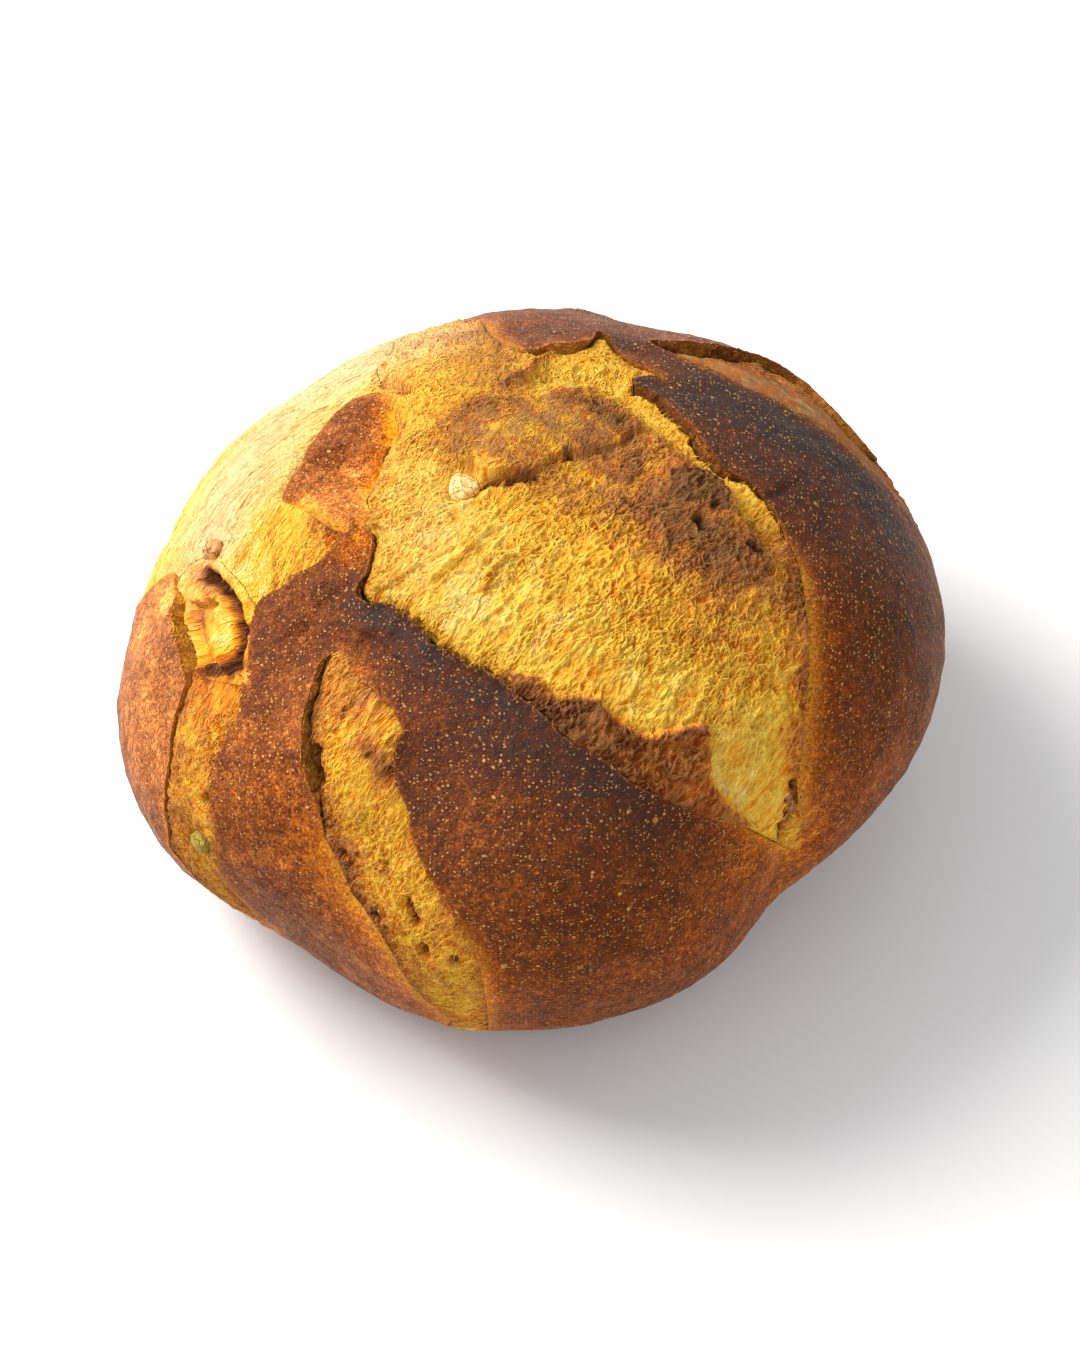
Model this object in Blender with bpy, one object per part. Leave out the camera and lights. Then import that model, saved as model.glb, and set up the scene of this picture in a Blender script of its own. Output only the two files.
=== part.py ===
"""A round pumpkin loaf: a browned crust that burst open over yellow crumb, with bits of nut showing.

Everything is in metres, +Z up. The origin is the middle of the flat base, and the loaf's front faces -Y.
The loaf is one solid. Its surface is a radius for every direction from its heart: an egg, brought to
the outline that the loaf shows from the front and above, with the crust's lips and the crumb's hollows
added. Places that show from the front are named as the pixels at which they show, places round the back
as compass angles, and both are brought onto the egg before anything is measured.
"""

import math

import bmesh
import bpy
import numpy as np
from mathutils import Matrix, Vector, kdtree

# Size of the whole loaf
HEART = np.array([0.0, 0.0, 0.050])  # the point that the loaf swells from
HALF_AXES = np.array([0.1075, 0.1075, 0.068])  # of the egg above the heart
HALF_BELOW = 0.082  # the egg's lower half-axis, before its base is flattened
BASE_BLEND = 0.006  # how softly the side turns into the flat base
GRID = 30  # cells along each edge of the cube that becomes the skin
CROWDING = 0.30  # how much closer together the skin's points are towards the front and top

# How the loaf is seen: 50 degrees down from 0.8 m, in a frame of 1080 x 1350 pixels
LOOKING_DOWN = math.radians(50)
SEEN_FROM = 0.80
PIXEL = 0.2575e-3  # what one pixel covers at the heart
FRAME = (1080, 1350)
HEART_SEEN = (531.0, 672.0)  # pixel at which the heart lies

# Crust and crumb
LIP_WIDTH = 0.006  # how far from a tear its lip has fallen to a third
CRUMB_SUNK = 0.0008  # the crumb's level below the crust
EDGE_SUNK = 0.0036  # how much deeper the crumb is along a tear with a full lip
EDGE_WIDTH = 0.005
FULL_LIP = 0.0022
WALL = 0.0035  # width of the slope from crust down to crumb
NUT_GAP = 0.00035  # clearance round each bit of nut
NUT_ROUNDNESS = 3  # subdivisions of the ball that becomes a bit of nut
OUTLINE_STEP = 0.0012  # spacing of the points that stand for an outline
DRAWN_IN = 0.0020  # how near a point of the skin is to a tear when it is moved onto it

CRUST_COLOUR = (0.30, 0.10, 0.02)
NUT_COLOUR = (0.75, 0.55, 0.30)

# The outline of the loaf as seen, clockwise from the top
SILHOUETTE = [
    (520, 306), (560, 311), (600, 316), (650, 331), (705, 334), (745, 352), (785, 374), (825, 402),
    (862, 438), (890, 482), (922, 530), (938, 575), (946, 635), (942, 690), (920, 748), (885, 800),
    (840, 848), (798, 882), (765, 908), (745, 940), (715, 975), (660, 1002), (600, 1022), (540, 1031),
    (480, 1030), (420, 1020), (370, 996), (320, 958), (270, 926), (215, 894), (168, 864), (146, 822),
    (122, 768), (115, 715), (126, 650), (140, 600), (160, 562), (178, 520), (212, 458), (258, 420),
    (310, 386), (360, 350), (440, 328), (480, 314),
]
SECTORS = 72  # directions in which that outline is compared with the egg's
LEANS = (-40, 60)  # degrees behind and before the outline's plane in which the egg's own edge is looked for
ROUNDS = 3  # corrections of the outline
SIDE_ON = 0.75  # from this squared sine off the line of sight on, a direction gets the whole correction
PROBED = 0.13  # how far before and behind the heart the surface is looked for
PROBES = 521

TOWARDS = np.array([0.0, -math.cos(LOOKING_DOWN), math.sin(LOOKING_DOWN)])
RIGHT = np.array([1.0, 0.0, 0.0])
UP = np.array([0.0, math.sin(LOOKING_DOWN), math.cos(LOOKING_DOWN)])
FOCAL = SEEN_FROM / PIXEL
EYE = (
    HEART
    + SEEN_FROM * TOWARDS
    + RIGHT * (FRAME[0] / 2 - HEART_SEEN[0]) * PIXEL
    + UP * (HEART_SEEN[1] - FRAME[1] / 2) * PIXEL
)


# The egg

def projected(points):
    """The pixels at which points of the loaf show."""
    rays = points - EYE
    depth = -(rays @ TOWARDS)
    across = FRAME[0] / 2 + FOCAL * (rays @ RIGHT) / depth
    down = FRAME[1] / 2 - FOCAL * (rays @ UP) / depth
    return np.stack([across, down], axis=-1)


def egg_radius(directions):
    """Distance from the heart to the plain egg."""
    upright = np.where(directions[..., 2] < 0, HALF_BELOW, HALF_AXES[2])
    level = ((directions[..., :2] / HALF_AXES[:2]) ** 2).sum(axis=-1)
    return 1 / np.sqrt(level + (directions[..., 2] / upright) ** 2)


def sector_angles():
    """The sectors' directions in the picture, in radians, anticlockwise from the right."""
    return np.arange(SECTORS) * 2 * math.pi / SECTORS - math.pi


def outline_factors():
    """How far the seen outline stands out from the plain egg's, sector by sector round the heart."""
    angles = sector_angles()
    heart = projected(HEART[None])[0]
    corners = (np.array(SILHOUETTE, float) - heart) * (1, -1)
    turns = np.arctan2(corners[:, 1], corners[:, 0])
    order = np.argsort(turns)
    reach = np.interp(angles, turns[order], np.linalg.norm(corners, axis=1)[order], period=2 * math.pi)
    towards = (EYE - HEART) / np.linalg.norm(EYE - HEART)
    lean = np.radians(np.arange(*LEANS))
    across = np.cos(angles)[:, None] * RIGHT + np.sin(angles)[:, None] * UP
    directions = (
        np.cos(lean)[None, :, None] * across[:, None, :] + np.sin(lean)[None, :, None] * towards
    )
    factors = np.ones(SECTORS)
    for _ in range(ROUNDS):
        radius = egg_radius(directions) * factors[:, None]
        shown = projected(HEART + radius[..., None] * directions) - heart
        factors *= reach / np.linalg.norm(shown, axis=-1).max(axis=1)
    return (np.roll(factors, 1) + 2 * factors + np.roll(factors, -1)) / 4


FACTORS = outline_factors()


def soft_lowest(first, second, blend):
    """The lower of two values, with a rounded change from one to the other."""
    share = np.clip(0.5 + 0.5 * (second - first) / blend, 0, 1)
    return second + (first - second) * share - blend * share * (1 - share)


def form_radius(directions):
    """Distance from the heart to the loaf's smooth form, down to its flat base."""
    turns = np.arctan2(directions @ UP, directions @ RIGHT)
    factor = np.interp(turns, sector_angles(), FACTORS, period=2 * math.pi)
    sideways = np.clip((1 - (directions @ TOWARDS) ** 2) / SIDE_ON, 0, 1)
    radius = egg_radius(directions) * (1 + (factor - 1) * sideways)
    return soft_lowest(radius, base_radius(directions), BASE_BLEND)


def base_radius(directions):
    """Distance from the heart down to the base plane, or a metre where a direction never meets it."""
    return np.where(directions[:, 2] < -1e-3, HEART[2] / np.maximum(-directions[:, 2], 1e-3), 1.0)


def on_form(directions):
    """The places on the smooth form that lie this way from the heart."""
    return HEART + form_radius(directions)[:, None] * directions


# Places on the loaf

def seen(pixels):
    """The places on the smooth form that show at these pixels."""
    pixels = np.array(pixels, float)
    rays = (
        -TOWARDS
        + np.outer((pixels[:, 0] - FRAME[0] / 2) / FOCAL, RIGHT)
        + np.outer((FRAME[1] / 2 - pixels[:, 1]) / FOCAL, UP)
    )
    depths = np.linspace(SEEN_FROM - PROBED, SEEN_FROM + PROBED, PROBES)
    offsets = EYE + depths[None, :, None] * rays[:, None, :] - HEART
    distance = np.linalg.norm(offsets, axis=-1)
    directions = (offsets / distance[..., None]).reshape(-1, 3)
    outside = distance - form_radius(directions).reshape(distance.shape)
    met = (outside < 0).any(axis=1)
    first = np.where(met, (outside < 0).argmax(axis=1), outside.argmin(axis=1))
    rows = np.arange(len(pixels))
    before = outside[rows, np.maximum(first - 1, 0)]
    share = np.where(met, before / np.maximum(before - outside[rows, first], 1e-9), 1.0)
    depth = depths[first - 1] + share * (depths[1] - depths[0])
    return EYE + depth[:, None] * rays


def round_back(angles):
    """Places by compass angle (0 is the front, 90 the right) and height angle from the heart, in degrees."""
    turn, rise = np.radians(np.array(angles, float)).T
    directions = np.stack([np.cos(rise) * np.sin(turn), -np.cos(rise) * np.cos(turn), np.sin(rise)], axis=1)
    return on_form(directions)


def flat_map(points):
    """The loaf's skin laid flat round its top, so that inside and outside of an outline can be told."""
    directions = (points - HEART) / np.linalg.norm(points - HEART, axis=-1, keepdims=True)
    fall = np.arccos(np.clip(directions[:, 2], -1, 1))
    turn = np.arctan2(directions[:, 1], directions[:, 0])
    return np.stack([fall * np.cos(turn), fall * np.sin(turn)], axis=1)


def stretch(*runs):
    """One outline from runs of (where, [(a, b, lip in mm), ...]): its places, and its lips in metres."""
    places = [where([pick[:2] for pick in picks]) for where, picks in runs]
    lips = [np.array([pick[2] for pick in picks], float) / 1000 for _, picks in runs]
    return np.concatenate(places), np.concatenate(lips)


def smooth_loop(places, lips):
    """A closed curve through the places, as points OUTLINE_STEP apart on the form, with their lips."""
    corners = np.column_stack([places, lips])
    before, after, beyond = (np.roll(corners, shift, axis=0) for shift in (1, -1, -2))
    points = []
    for p0, p1, p2, p3 in zip(before, corners, after, beyond):
        count = max(2, math.ceil(np.linalg.norm(p2[:3] - p1[:3]) / OUTLINE_STEP))
        t = (np.arange(count) / count)[:, None]
        points.append(
            0.5 * (2 * p1 + (p2 - p0) * t + (2 * p0 - 5 * p1 + 4 * p2 - p3) * t**2)
            + 0.5 * (3 * p1 - 3 * p2 + p3 - p0) * t**3
        )
    points = np.concatenate(points)
    away = points[:, :3] - HEART
    directions = away / np.linalg.norm(away, axis=1, keepdims=True)
    return on_form(directions), np.maximum(points[:, 3], 0)


# The tears, where the crumb shows. Each pick is a place and how far the crust's lip stands up there, in mm.

CROWN_TEAR = stretch(
    (seen, [
        (374, 536, 3), (369, 560, 3), (364, 585, 4), (382, 602, 5), (405, 613, 5), (425, 630, 4.5),
        (447, 652, 4), (475, 667, 3.5), (503, 680, 3), (530, 702, 2), (560, 733, 1.5), (600, 757, 1),
        (640, 786, 1), (680, 803, 0.5), (720, 816, 0.5), (755, 833, 0.5), (798, 850, 0.5),
        (800, 820, 0), (800, 780, 0), (803, 740, 0), (806, 700, 0), (808, 650, 0), (805, 605, 0.3),
        (797, 565, 0.5), (782, 530, 1), (765, 500, 1), (745, 482, 1), (722, 468, 1), (705, 448, 1.5),
        (690, 425, 1.5), (668, 403, 1.5), (645, 388, 1), (632, 379, 1.5), (650, 376, 1), (664, 378, 0.5),
        (652, 369, 0.5), (635, 362, 1), (618, 350, 1), (602, 334, 1.5), (590, 341, 1.5),
        (572, 345, 2), (550, 348, 2.5), (532, 358, 2), (515, 375, 2), (503, 386, 1.5), (498, 370, 1),
        (494, 350, 0.5), (484, 334, 0.5), (478, 322, 0.5),
    ]),
    (round_back, [
        (196, 22, 1), (210, 14, 1.5), (228, 6, 1.5), (246, 2, 1), (262, 6, 1),
    ]),
    (seen, [
        (172, 557, 1), (188, 563, 2), (203, 574, 2), (214, 590, 2), (223, 606, 1), (227, 630, 0.5),
        (226, 655, 0.5), (231, 678, 0.5), (239, 664, 1), (245, 642, 1), (252, 615, 2), (264, 600, 2.5),
        (284, 588, 3), (297, 577, 3), (316, 568, 3), (334, 551, 3), (350, 536, 3), (363, 530, 3),
    ]),
)
LEFT_TEAR = stretch(
    (seen, [
        (183, 602, 2), (197, 595, 2), (211, 601, 1), (221, 614, 0.5), (221, 640, 0.5), (221, 662, 0.5),
        (228, 679, 0.5), (239, 683, 1.5), (243, 695, 1.5), (240, 714, 1.5), (234, 731, 1.5),
        (225, 748, 1.5), (214, 768, 1.5), (211, 797, 1.5), (214, 826, 1), (217, 856, 1), (223, 880, 1),
    ]),
    (round_back, [(317, -12, 0.5), (314, -23, 0.5), (308, -14, 0.5)]),
    (seen, [
        (186, 868, 1), (173, 852, 1), (167, 830, 1), (165, 800, 1), (168, 770, 1), (171, 745, 1),
        (174, 722, 1.5), (181, 704, 1.5), (191, 689, 1.5), (195, 674, 2), (187, 657, 2), (180, 640, 2),
        (177, 620, 2),
    ]),
)
FRONT_TEAR = stretch(
    (seen, [
        (334, 652, 1), (348, 660, 1), (362, 680, 1), (380, 697, 1.5), (396, 712, 2), (402, 730, 2),
        (397, 748, 2), (396, 772, 1.5), (402, 795, 1.5), (409, 812, 1.5), (410, 832, 1.5),
        (417, 852, 1), (428, 872, 1), (442, 893, 1), (455, 915, 1), (468, 938, 0.8), (478, 962, 0.5),
        (484, 990, 0.5), (488, 1016, 0.5),
    ]),
    (round_back, [(353, -20, 0.5), (350, -27, 0.5), (347, -20, 0.5)]),
    (seen, [
        (450, 1018, 0.5), (430, 1003, 0.5), (412, 985, 0.5), (398, 962, 0.5), (385, 940, 0.5),
        (370, 915, 1), (352, 890, 1), (338, 862, 1), (325, 838, 1.5), (320, 812, 2), (312, 790, 2.5),
        (306, 765, 3), (305, 735, 3), (309, 705, 3), (316, 680, 2.5), (324, 660, 2),
    ]),
)
RIGHT_TEAR = stretch(
    (seen, [
        (650, 347, 2.5), (675, 355, 1), (700, 364, 1), (740, 384, 1), (780, 401, 1), (820, 427, 1),
        (850, 452, 1), (872, 473, 1),
    ]),
    (round_back, [(110, 10, 1), (112, -6, 0.5), (117, -22, 0.5), (121, -8, 0.5), (122, 8, 1)]),
    (seen, [
        (872, 455, 1.5), (850, 430, 1.5), (826, 408, 2), (800, 388, 2.5), (770, 371, 3), (740, 359, 3),
        (710, 352, 3), (680, 349, 3),
    ]),
)
BACK_TEAR = stretch(
    (round_back, [
        (172, 20, 1.5), (165, 12, 2), (160, 2, 2), (158, -9, 1), (159, -18, 0.5), (162, -25, 0.5),
        (166, -18, 0.5), (169, -8, 1), (173, 3, 2), (176, 13, 2),
    ]),
)
BACK_LEFT_TEAR = stretch(
    (round_back, [
        (228, -1, 1), (222, -7, 1.5), (219, -15, 1), (222, -25, 0.5), (227, -18, 0.5), (232, -9, 1),
        (233, -3, 1),
    ]),
)
# A patch of crust that stays on the crumb
ISLAND = stretch(
    (seen, [
        (352, 404, 2), (338, 422, 2), (321, 443, 2), (305, 464, 1.5), (292, 483, 1), (285, 500, 1),
        (300, 508, 0.5), (318, 521, 0.5), (340, 533, 0.5), (360, 530, 0.5), (374, 514, 1),
        (378, 496, 1), (373, 478, 0.5), (380, 462, 1), (386, 446, 1), (385, 425, 1), (391, 406, 1),
        (380, 396, 1), (365, 397, 1.5),
    ]),
)
TEARS = (CROWN_TEAR, LEFT_TEAR, FRONT_TEAR, RIGHT_TEAR, BACK_TEAR, BACK_LEFT_TEAR)

# Relief that follows a line: (pixels, height, half-width), heights and widths in metres
CRUMB_LINES = (
    ([(470, 440), (520, 418), (570, 412), (630, 425), (690, 465), (730, 515), (752, 560)], 0.0042, 0.0085),
    ([(512, 392), (560, 374), (612, 380), (645, 402), (676, 432), (708, 466), (742, 500), (768, 545)],
     -0.0034, 0.0032),
    ([(505, 676), (545, 707), (585, 722), (630, 752), (680, 762), (735, 812)], 0.0046, 0.0062),
    ([(205, 568), (217, 590), (231, 612), (238, 640), (234, 668)], -0.0095, 0.0028),
    ([(345, 470), (372, 470)], -0.0030, 0.0040),
    ([(393, 408), (400, 430), (386, 452)], -0.0026, 0.0030),
    ([(486, 482), (530, 474)], -0.0034, 0.0026),
    ([(380, 380), (404, 388)], -0.0045, 0.0026),
)
CRUST_LINES = (
    ([(800, 852), (795, 872), (788, 888)], -0.0040, 0.0070),
    ([(296, 632), (318, 606), (345, 588)], -0.0014, 0.0022),
    ([(300, 640), (330, 640), (352, 650)], -0.0022, 0.0040),
)
# Round swellings and hollows: (pixel, height, half-width)
CRUMB_ROUNDS = (
    ((190, 632), -0.0050, 0.0060),
    ((193, 845), -0.0028, 0.0048),
    ((600, 580), 0.0016, 0.0260),
    ((355, 760), 0.0014, 0.0120),
    ((430, 350), 0.0014, 0.0140),
    ((703, 520), -0.0034, 0.0030),
)
CRUST_ROUNDS = (
    ((590, 860), 0.0016, 0.0260),
    ((870, 600), 0.0014, 0.0260),
    ((265, 760), 0.0018, 0.0130),
    ((345, 425), 0.0016, 0.0080),
)

# Bits of nut: name, pixel, half-sizes, turn in degrees about the way it faces, how deep its middle lies
NUTS = (
    ("nut_crown", (461, 481), (0.0046, 0.0042, 0.0028), 20, 0.0022),
    ("nut_side", (206, 551), (0.0036, 0.0052, 0.0034), -15, 0.0020),
    ("seed_strip", (193, 846), (0.0040, 0.0033, 0.0022), 25, 0.0026),
    ("seed_tip", (792, 806), (0.0018, 0.0054, 0.0028), -8, 0.0022),
)


def spaced(pixels):
    """Points along a line on the form, close enough together to stand for it."""
    places = seen(pixels)
    runs = []
    for start, end in zip(places[:-1], places[1:]):
        count = max(2, math.ceil(np.linalg.norm(end - start) / OUTLINE_STEP))
        runs.append(start + (end - start) * (np.arange(count) / count)[:, None])
    points = np.concatenate(runs + [places[-1:]])
    away = points - HEART
    return on_form(away / np.linalg.norm(away, axis=1, keepdims=True))


def nearest(points, targets):
    """For each point, its distance to the closest target and that target's number."""
    tree = kdtree.KDTree(len(targets))
    for number, target in enumerate(targets):
        tree.insert(target, number)
    tree.balance()
    found = [tree.find(point) for point in points]
    return np.array([hit[2] for hit in found]), np.array([hit[1] for hit in found])


def inside(points, outline):
    """Which points of the flat map lie within a closed outline."""
    result = np.zeros(len(points), bool)
    for (x0, y0), (x1, y1) in zip(outline, np.roll(outline, -1, axis=0)):
        if y0 == y1:
            continue
        crosses = (points[:, 1] < y0) != (points[:, 1] < y1)
        result ^= crosses & (points[:, 0] < x0 + (points[:, 1] - y0) * (x1 - x0) / (y1 - y0))
    return result


def lines_relief(points, lines):
    """What ridges and grooves along lines add at these points."""
    total = np.zeros(len(points))
    for pixels, height, width in lines:
        distance, _ = nearest(points, spaced(pixels))
        total += height * np.exp(-((distance / width) ** 2))
    return total


def rounds_relief(points, rounds):
    """What round swellings and hollows add at these points."""
    total = np.zeros(len(points))
    for pixel, height, width in rounds:
        distance = np.linalg.norm(points - seen([pixel])[0], axis=1)
        total += height * np.exp(-((distance / width) ** 2))
    return total


LOOPS = [smooth_loop(*tear) for tear in TEARS]
ISLAND_LOOP = smooth_loop(*ISLAND)
EDGES = np.concatenate([places for places, _ in (*LOOPS, ISLAND_LOOP)])
LIPS = np.concatenate([heights for _, heights in (*LOOPS, ISLAND_LOOP)])


def relief(points):
    """How far the real surface stands out from the smooth form at these points of it."""
    spread = flat_map(points)
    crumb = np.zeros(len(points), bool)
    for places, _ in LOOPS:
        crumb |= inside(spread, flat_map(places))
    crumb &= ~inside(spread, flat_map(ISLAND_LOOP[0]))
    distance, closest = nearest(points, EDGES)
    crust_level = LIPS[closest] * np.exp(-distance / LIP_WIDTH)
    crust_level += lines_relief(points, CRUST_LINES) + rounds_relief(points, CRUST_ROUNDS)
    sharpness = np.clip(LIPS[closest] / FULL_LIP, 0, 1)
    crumb_level = -CRUMB_SUNK - EDGE_SUNK * sharpness * np.exp(-distance / EDGE_WIDTH)
    crumb_level += lines_relief(points, CRUMB_LINES) + rounds_relief(points, CRUMB_ROUNDS)
    down = np.clip(distance / WALL, 0, 1)
    return np.where(crumb, crust_level + (crumb_level - crust_level) * down, crust_level)


# The solids

def skin_directions(corners):
    """Directions for the corners of a gridded cube, even over the ball and then crowded to the front."""
    spread = np.tan(corners * math.pi / 4)
    directions = spread / np.linalg.norm(spread, axis=1, keepdims=True)
    along = np.clip(directions @ TOWARDS, -1, 1)
    sideways = directions - along[:, None] * TOWARDS
    sideways /= np.maximum(np.linalg.norm(sideways, axis=1, keepdims=True), 1e-9)
    angle = np.arccos(along)
    angle -= CROWDING * np.sin(angle)
    return np.cos(angle)[:, None] * TOWARDS + np.sin(angle)[:, None] * sideways


def drawn_to_edges(points):
    """The skin's points, with those next to a tear moved onto it, so that its lip is a clean edge."""
    distance, closest = nearest(points, EDGES)
    near = (distance < DRAWN_IN) & (points[:, 2] > BASE_BLEND)
    return np.where(near[:, None], EDGES[closest], points)


def make_loaf():
    """The loaf itself: a closed skin of triangles, flat underneath."""
    mesh = bmesh.new()
    bmesh.ops.create_cube(mesh, size=2)
    bmesh.ops.subdivide_edges(mesh, edges=mesh.edges[:], cuts=GRID - 1, use_grid_fill=True)
    corners = np.array([vertex.co for vertex in mesh.verts])
    directions = skin_directions(corners)
    smooth = drawn_to_edges(on_form(directions))
    directions = (smooth - HEART) / np.linalg.norm(smooth - HEART, axis=1, keepdims=True)
    above_base = np.clip(smooth[:, 2] / BASE_BLEND, 0, 1)
    points = smooth + (relief(smooth) * above_base)[:, None] * directions
    points[:, 2] = np.where(smooth[:, 2] < 1e-5, 0, np.maximum(points[:, 2], 0))
    for vertex, point in zip(mesh.verts, points):
        vertex.co = point
    bmesh.ops.triangulate(mesh, faces=mesh.faces[:], quad_method="SHORT_EDGE")
    return new_object("loaf", mesh)


def nut_points(mesh, half_sizes):
    """Makes a ball into a broken bit of nut: squashed, with a few flat breaks and a crease."""
    for vertex in mesh.verts:
        x, y, z = vertex.co
        facet = 1 - 0.16 * max(0, x * 0.8 + z * 0.6 - 0.55) - 0.20 * max(0, -y * 0.9 + z * 0.3 - 0.6)
        crease = 1 - 0.10 * math.exp(-((x + 0.25 * y) / 0.22) ** 2) * max(0, z)
        vertex.co = Vector((x * half_sizes[0], y * half_sizes[1], z * half_sizes[2])) * facet * crease


def nut_place(pixel, depth, turn):
    """Where a bit of nut lies: its own +Z points out of the loaf, and it is turned about that."""
    place = Vector(seen([pixel])[0])
    outwards = (place - Vector(HEART)).normalized()
    facing = outwards.to_track_quat("Z", "Y").to_matrix().to_4x4()
    return Matrix.Translation(place - outwards * depth) @ facing @ Matrix.Rotation(math.radians(turn), 4, "Z")


def make_nut(name, pixel, half_sizes, turn, depth):
    """One bit of nut, where it lies."""
    mesh = bmesh.new()
    bmesh.ops.create_icosphere(mesh, subdivisions=NUT_ROUNDNESS, radius=1)
    nut_points(mesh, half_sizes)
    bmesh.ops.transform(mesh, matrix=nut_place(pixel, depth, turn), verts=mesh.verts[:])
    return new_object(name, mesh)


def new_object(name, mesh):
    """An object from a closed mesh, with its faces turned outwards."""
    bmesh.ops.recalc_face_normals(mesh, faces=mesh.faces[:])
    data = bpy.data.meshes.new(name)
    mesh.to_mesh(data)
    mesh.free()
    made = bpy.data.objects.new(name, data)
    bpy.context.scene.collection.objects.link(made)
    return made


def cut_socket(loaf, nut):
    """Opens the loaf round a bit of nut, with a thin gap all round it."""
    socket = bpy.data.objects.new(nut.name + "_socket", nut.data.copy())
    bpy.context.scene.collection.objects.link(socket)
    for vertex in socket.data.vertices:
        vertex.co += vertex.normal * NUT_GAP
    socket.hide_render = True
    socket.display_type = "WIRE"
    cut = loaf.modifiers.new(nut.name + "_socket", "BOOLEAN")
    cut.operation = "DIFFERENCE"
    cut.object = socket


def finish(made, colour, roughness):
    """Gives an object its own material and a smooth look."""
    material = bpy.data.materials.new(made.name)
    material.use_nodes = True
    shader = material.node_tree.nodes["Principled BSDF"]
    shader.inputs["Base Color"].default_value = (*colour, 1)
    shader.inputs["Roughness"].default_value = roughness
    made.data.materials.append(material)
    made.data.shade_smooth()


def main():
    for leftover in list(bpy.data.objects):
        bpy.data.objects.remove(leftover)
    loaf = make_loaf()
    finish(loaf, CRUST_COLOUR, 0.55)
    for name, pixel, half_sizes, turn, depth in NUTS:
        nut = make_nut(name, pixel, half_sizes, turn, depth)
        finish(nut, NUT_COLOUR, 0.7)
        cut_socket(loaf, nut)


main()
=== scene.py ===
# %% [markdown]
# # A round pumpkin loaf
# The loaf is one piece of baked dough. Its browned crust burst open in the oven and shows yellow crumb,
# with a few bits of nut. The solids in the frame hold its form. This lesson dresses them: a finely
# modelled crust and crumb take the place of the plain loaf, and every finish is made of nodes.

# %% Load the frame
import math

import bpy
import numpy as np
from mathutils import Matrix, Vector, kdtree, noise


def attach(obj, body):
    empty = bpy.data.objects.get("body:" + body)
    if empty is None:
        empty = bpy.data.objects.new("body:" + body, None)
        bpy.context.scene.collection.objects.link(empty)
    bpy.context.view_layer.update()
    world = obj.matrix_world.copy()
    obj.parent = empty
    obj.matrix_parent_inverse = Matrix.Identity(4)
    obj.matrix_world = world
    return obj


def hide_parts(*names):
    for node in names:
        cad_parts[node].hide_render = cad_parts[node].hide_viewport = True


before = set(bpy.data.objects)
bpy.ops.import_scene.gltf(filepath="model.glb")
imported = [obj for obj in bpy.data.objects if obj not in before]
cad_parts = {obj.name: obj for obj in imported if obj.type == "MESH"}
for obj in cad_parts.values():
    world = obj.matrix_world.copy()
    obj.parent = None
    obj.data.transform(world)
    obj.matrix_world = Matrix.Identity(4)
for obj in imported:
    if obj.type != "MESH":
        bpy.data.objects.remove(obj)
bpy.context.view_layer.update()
scene = bpy.context.scene
print("solids:", sorted(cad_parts))

# %% [markdown]
# ## How the loaf is seen
# The photograph looks about 50 degrees down. A place on the loaf can be named by the pixel at which it
# shows, so the camera comes first, as three directions and a focal length in pixels.

# %% The camera's frame
HEART = np.array([0.0, 0.0, 0.050])  # the point that the loaf swells from
LOOKING_DOWN = math.radians(50)
SEEN_FROM = 0.80
PIXEL = 0.2575e-3  # what one pixel covers at the heart
FRAME = (1080, 1350)
HEART_SEEN = (531.0, 672.0)
SENSOR = 36.0  # millimetres, along the long side

TOWARDS = np.array([0.0, -math.cos(LOOKING_DOWN), math.sin(LOOKING_DOWN)])
RIGHT = np.array([1.0, 0.0, 0.0])
UP = np.array([0.0, math.sin(LOOKING_DOWN), math.cos(LOOKING_DOWN)])
FOCAL = SEEN_FROM / PIXEL
EYE = (
    HEART
    + SEEN_FROM * TOWARDS
    + RIGHT * (FRAME[0] / 2 - HEART_SEEN[0]) * PIXEL
    + UP * (HEART_SEEN[1] - FRAME[1] / 2) * PIXEL
)


def projected(points):
    """The pixels at which points of the loaf show."""
    rays = points - EYE
    depth = -(rays @ TOWARDS)
    across = FRAME[0] / 2 + FOCAL * (rays @ RIGHT) / depth
    down = FRAME[1] / 2 - FOCAL * (rays @ UP) / depth
    return np.stack([across, down], axis=-1)


def place_camera():
    lens = bpy.data.cameras.new("camera")
    lens.sensor_width = SENSOR
    lens.lens = FOCAL * SENSOR / FRAME[1]
    lens.clip_start = 0.01
    camera = bpy.data.objects.new("camera", lens)
    scene.collection.objects.link(camera)
    camera.matrix_world = Matrix((
        (RIGHT[0], UP[0], TOWARDS[0], EYE[0]),
        (RIGHT[1], UP[1], TOWARDS[1], EYE[1]),
        (RIGHT[2], UP[2], TOWARDS[2], EYE[2]),
        (0, 0, 0, 1),
    ))
    scene.camera = camera
    return camera


print("camera lens:", round(place_camera().data.lens, 2), "mm")

# %% [markdown]
# ## The form under the crust
# A loaf that was shaped by hand is nearly an egg. Here it is a radius for every direction from the heart,
# brought to the outline that the loaf shows, with a flat base. The solids were made by the same rule, so
# all that is added below stays on them.

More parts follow.
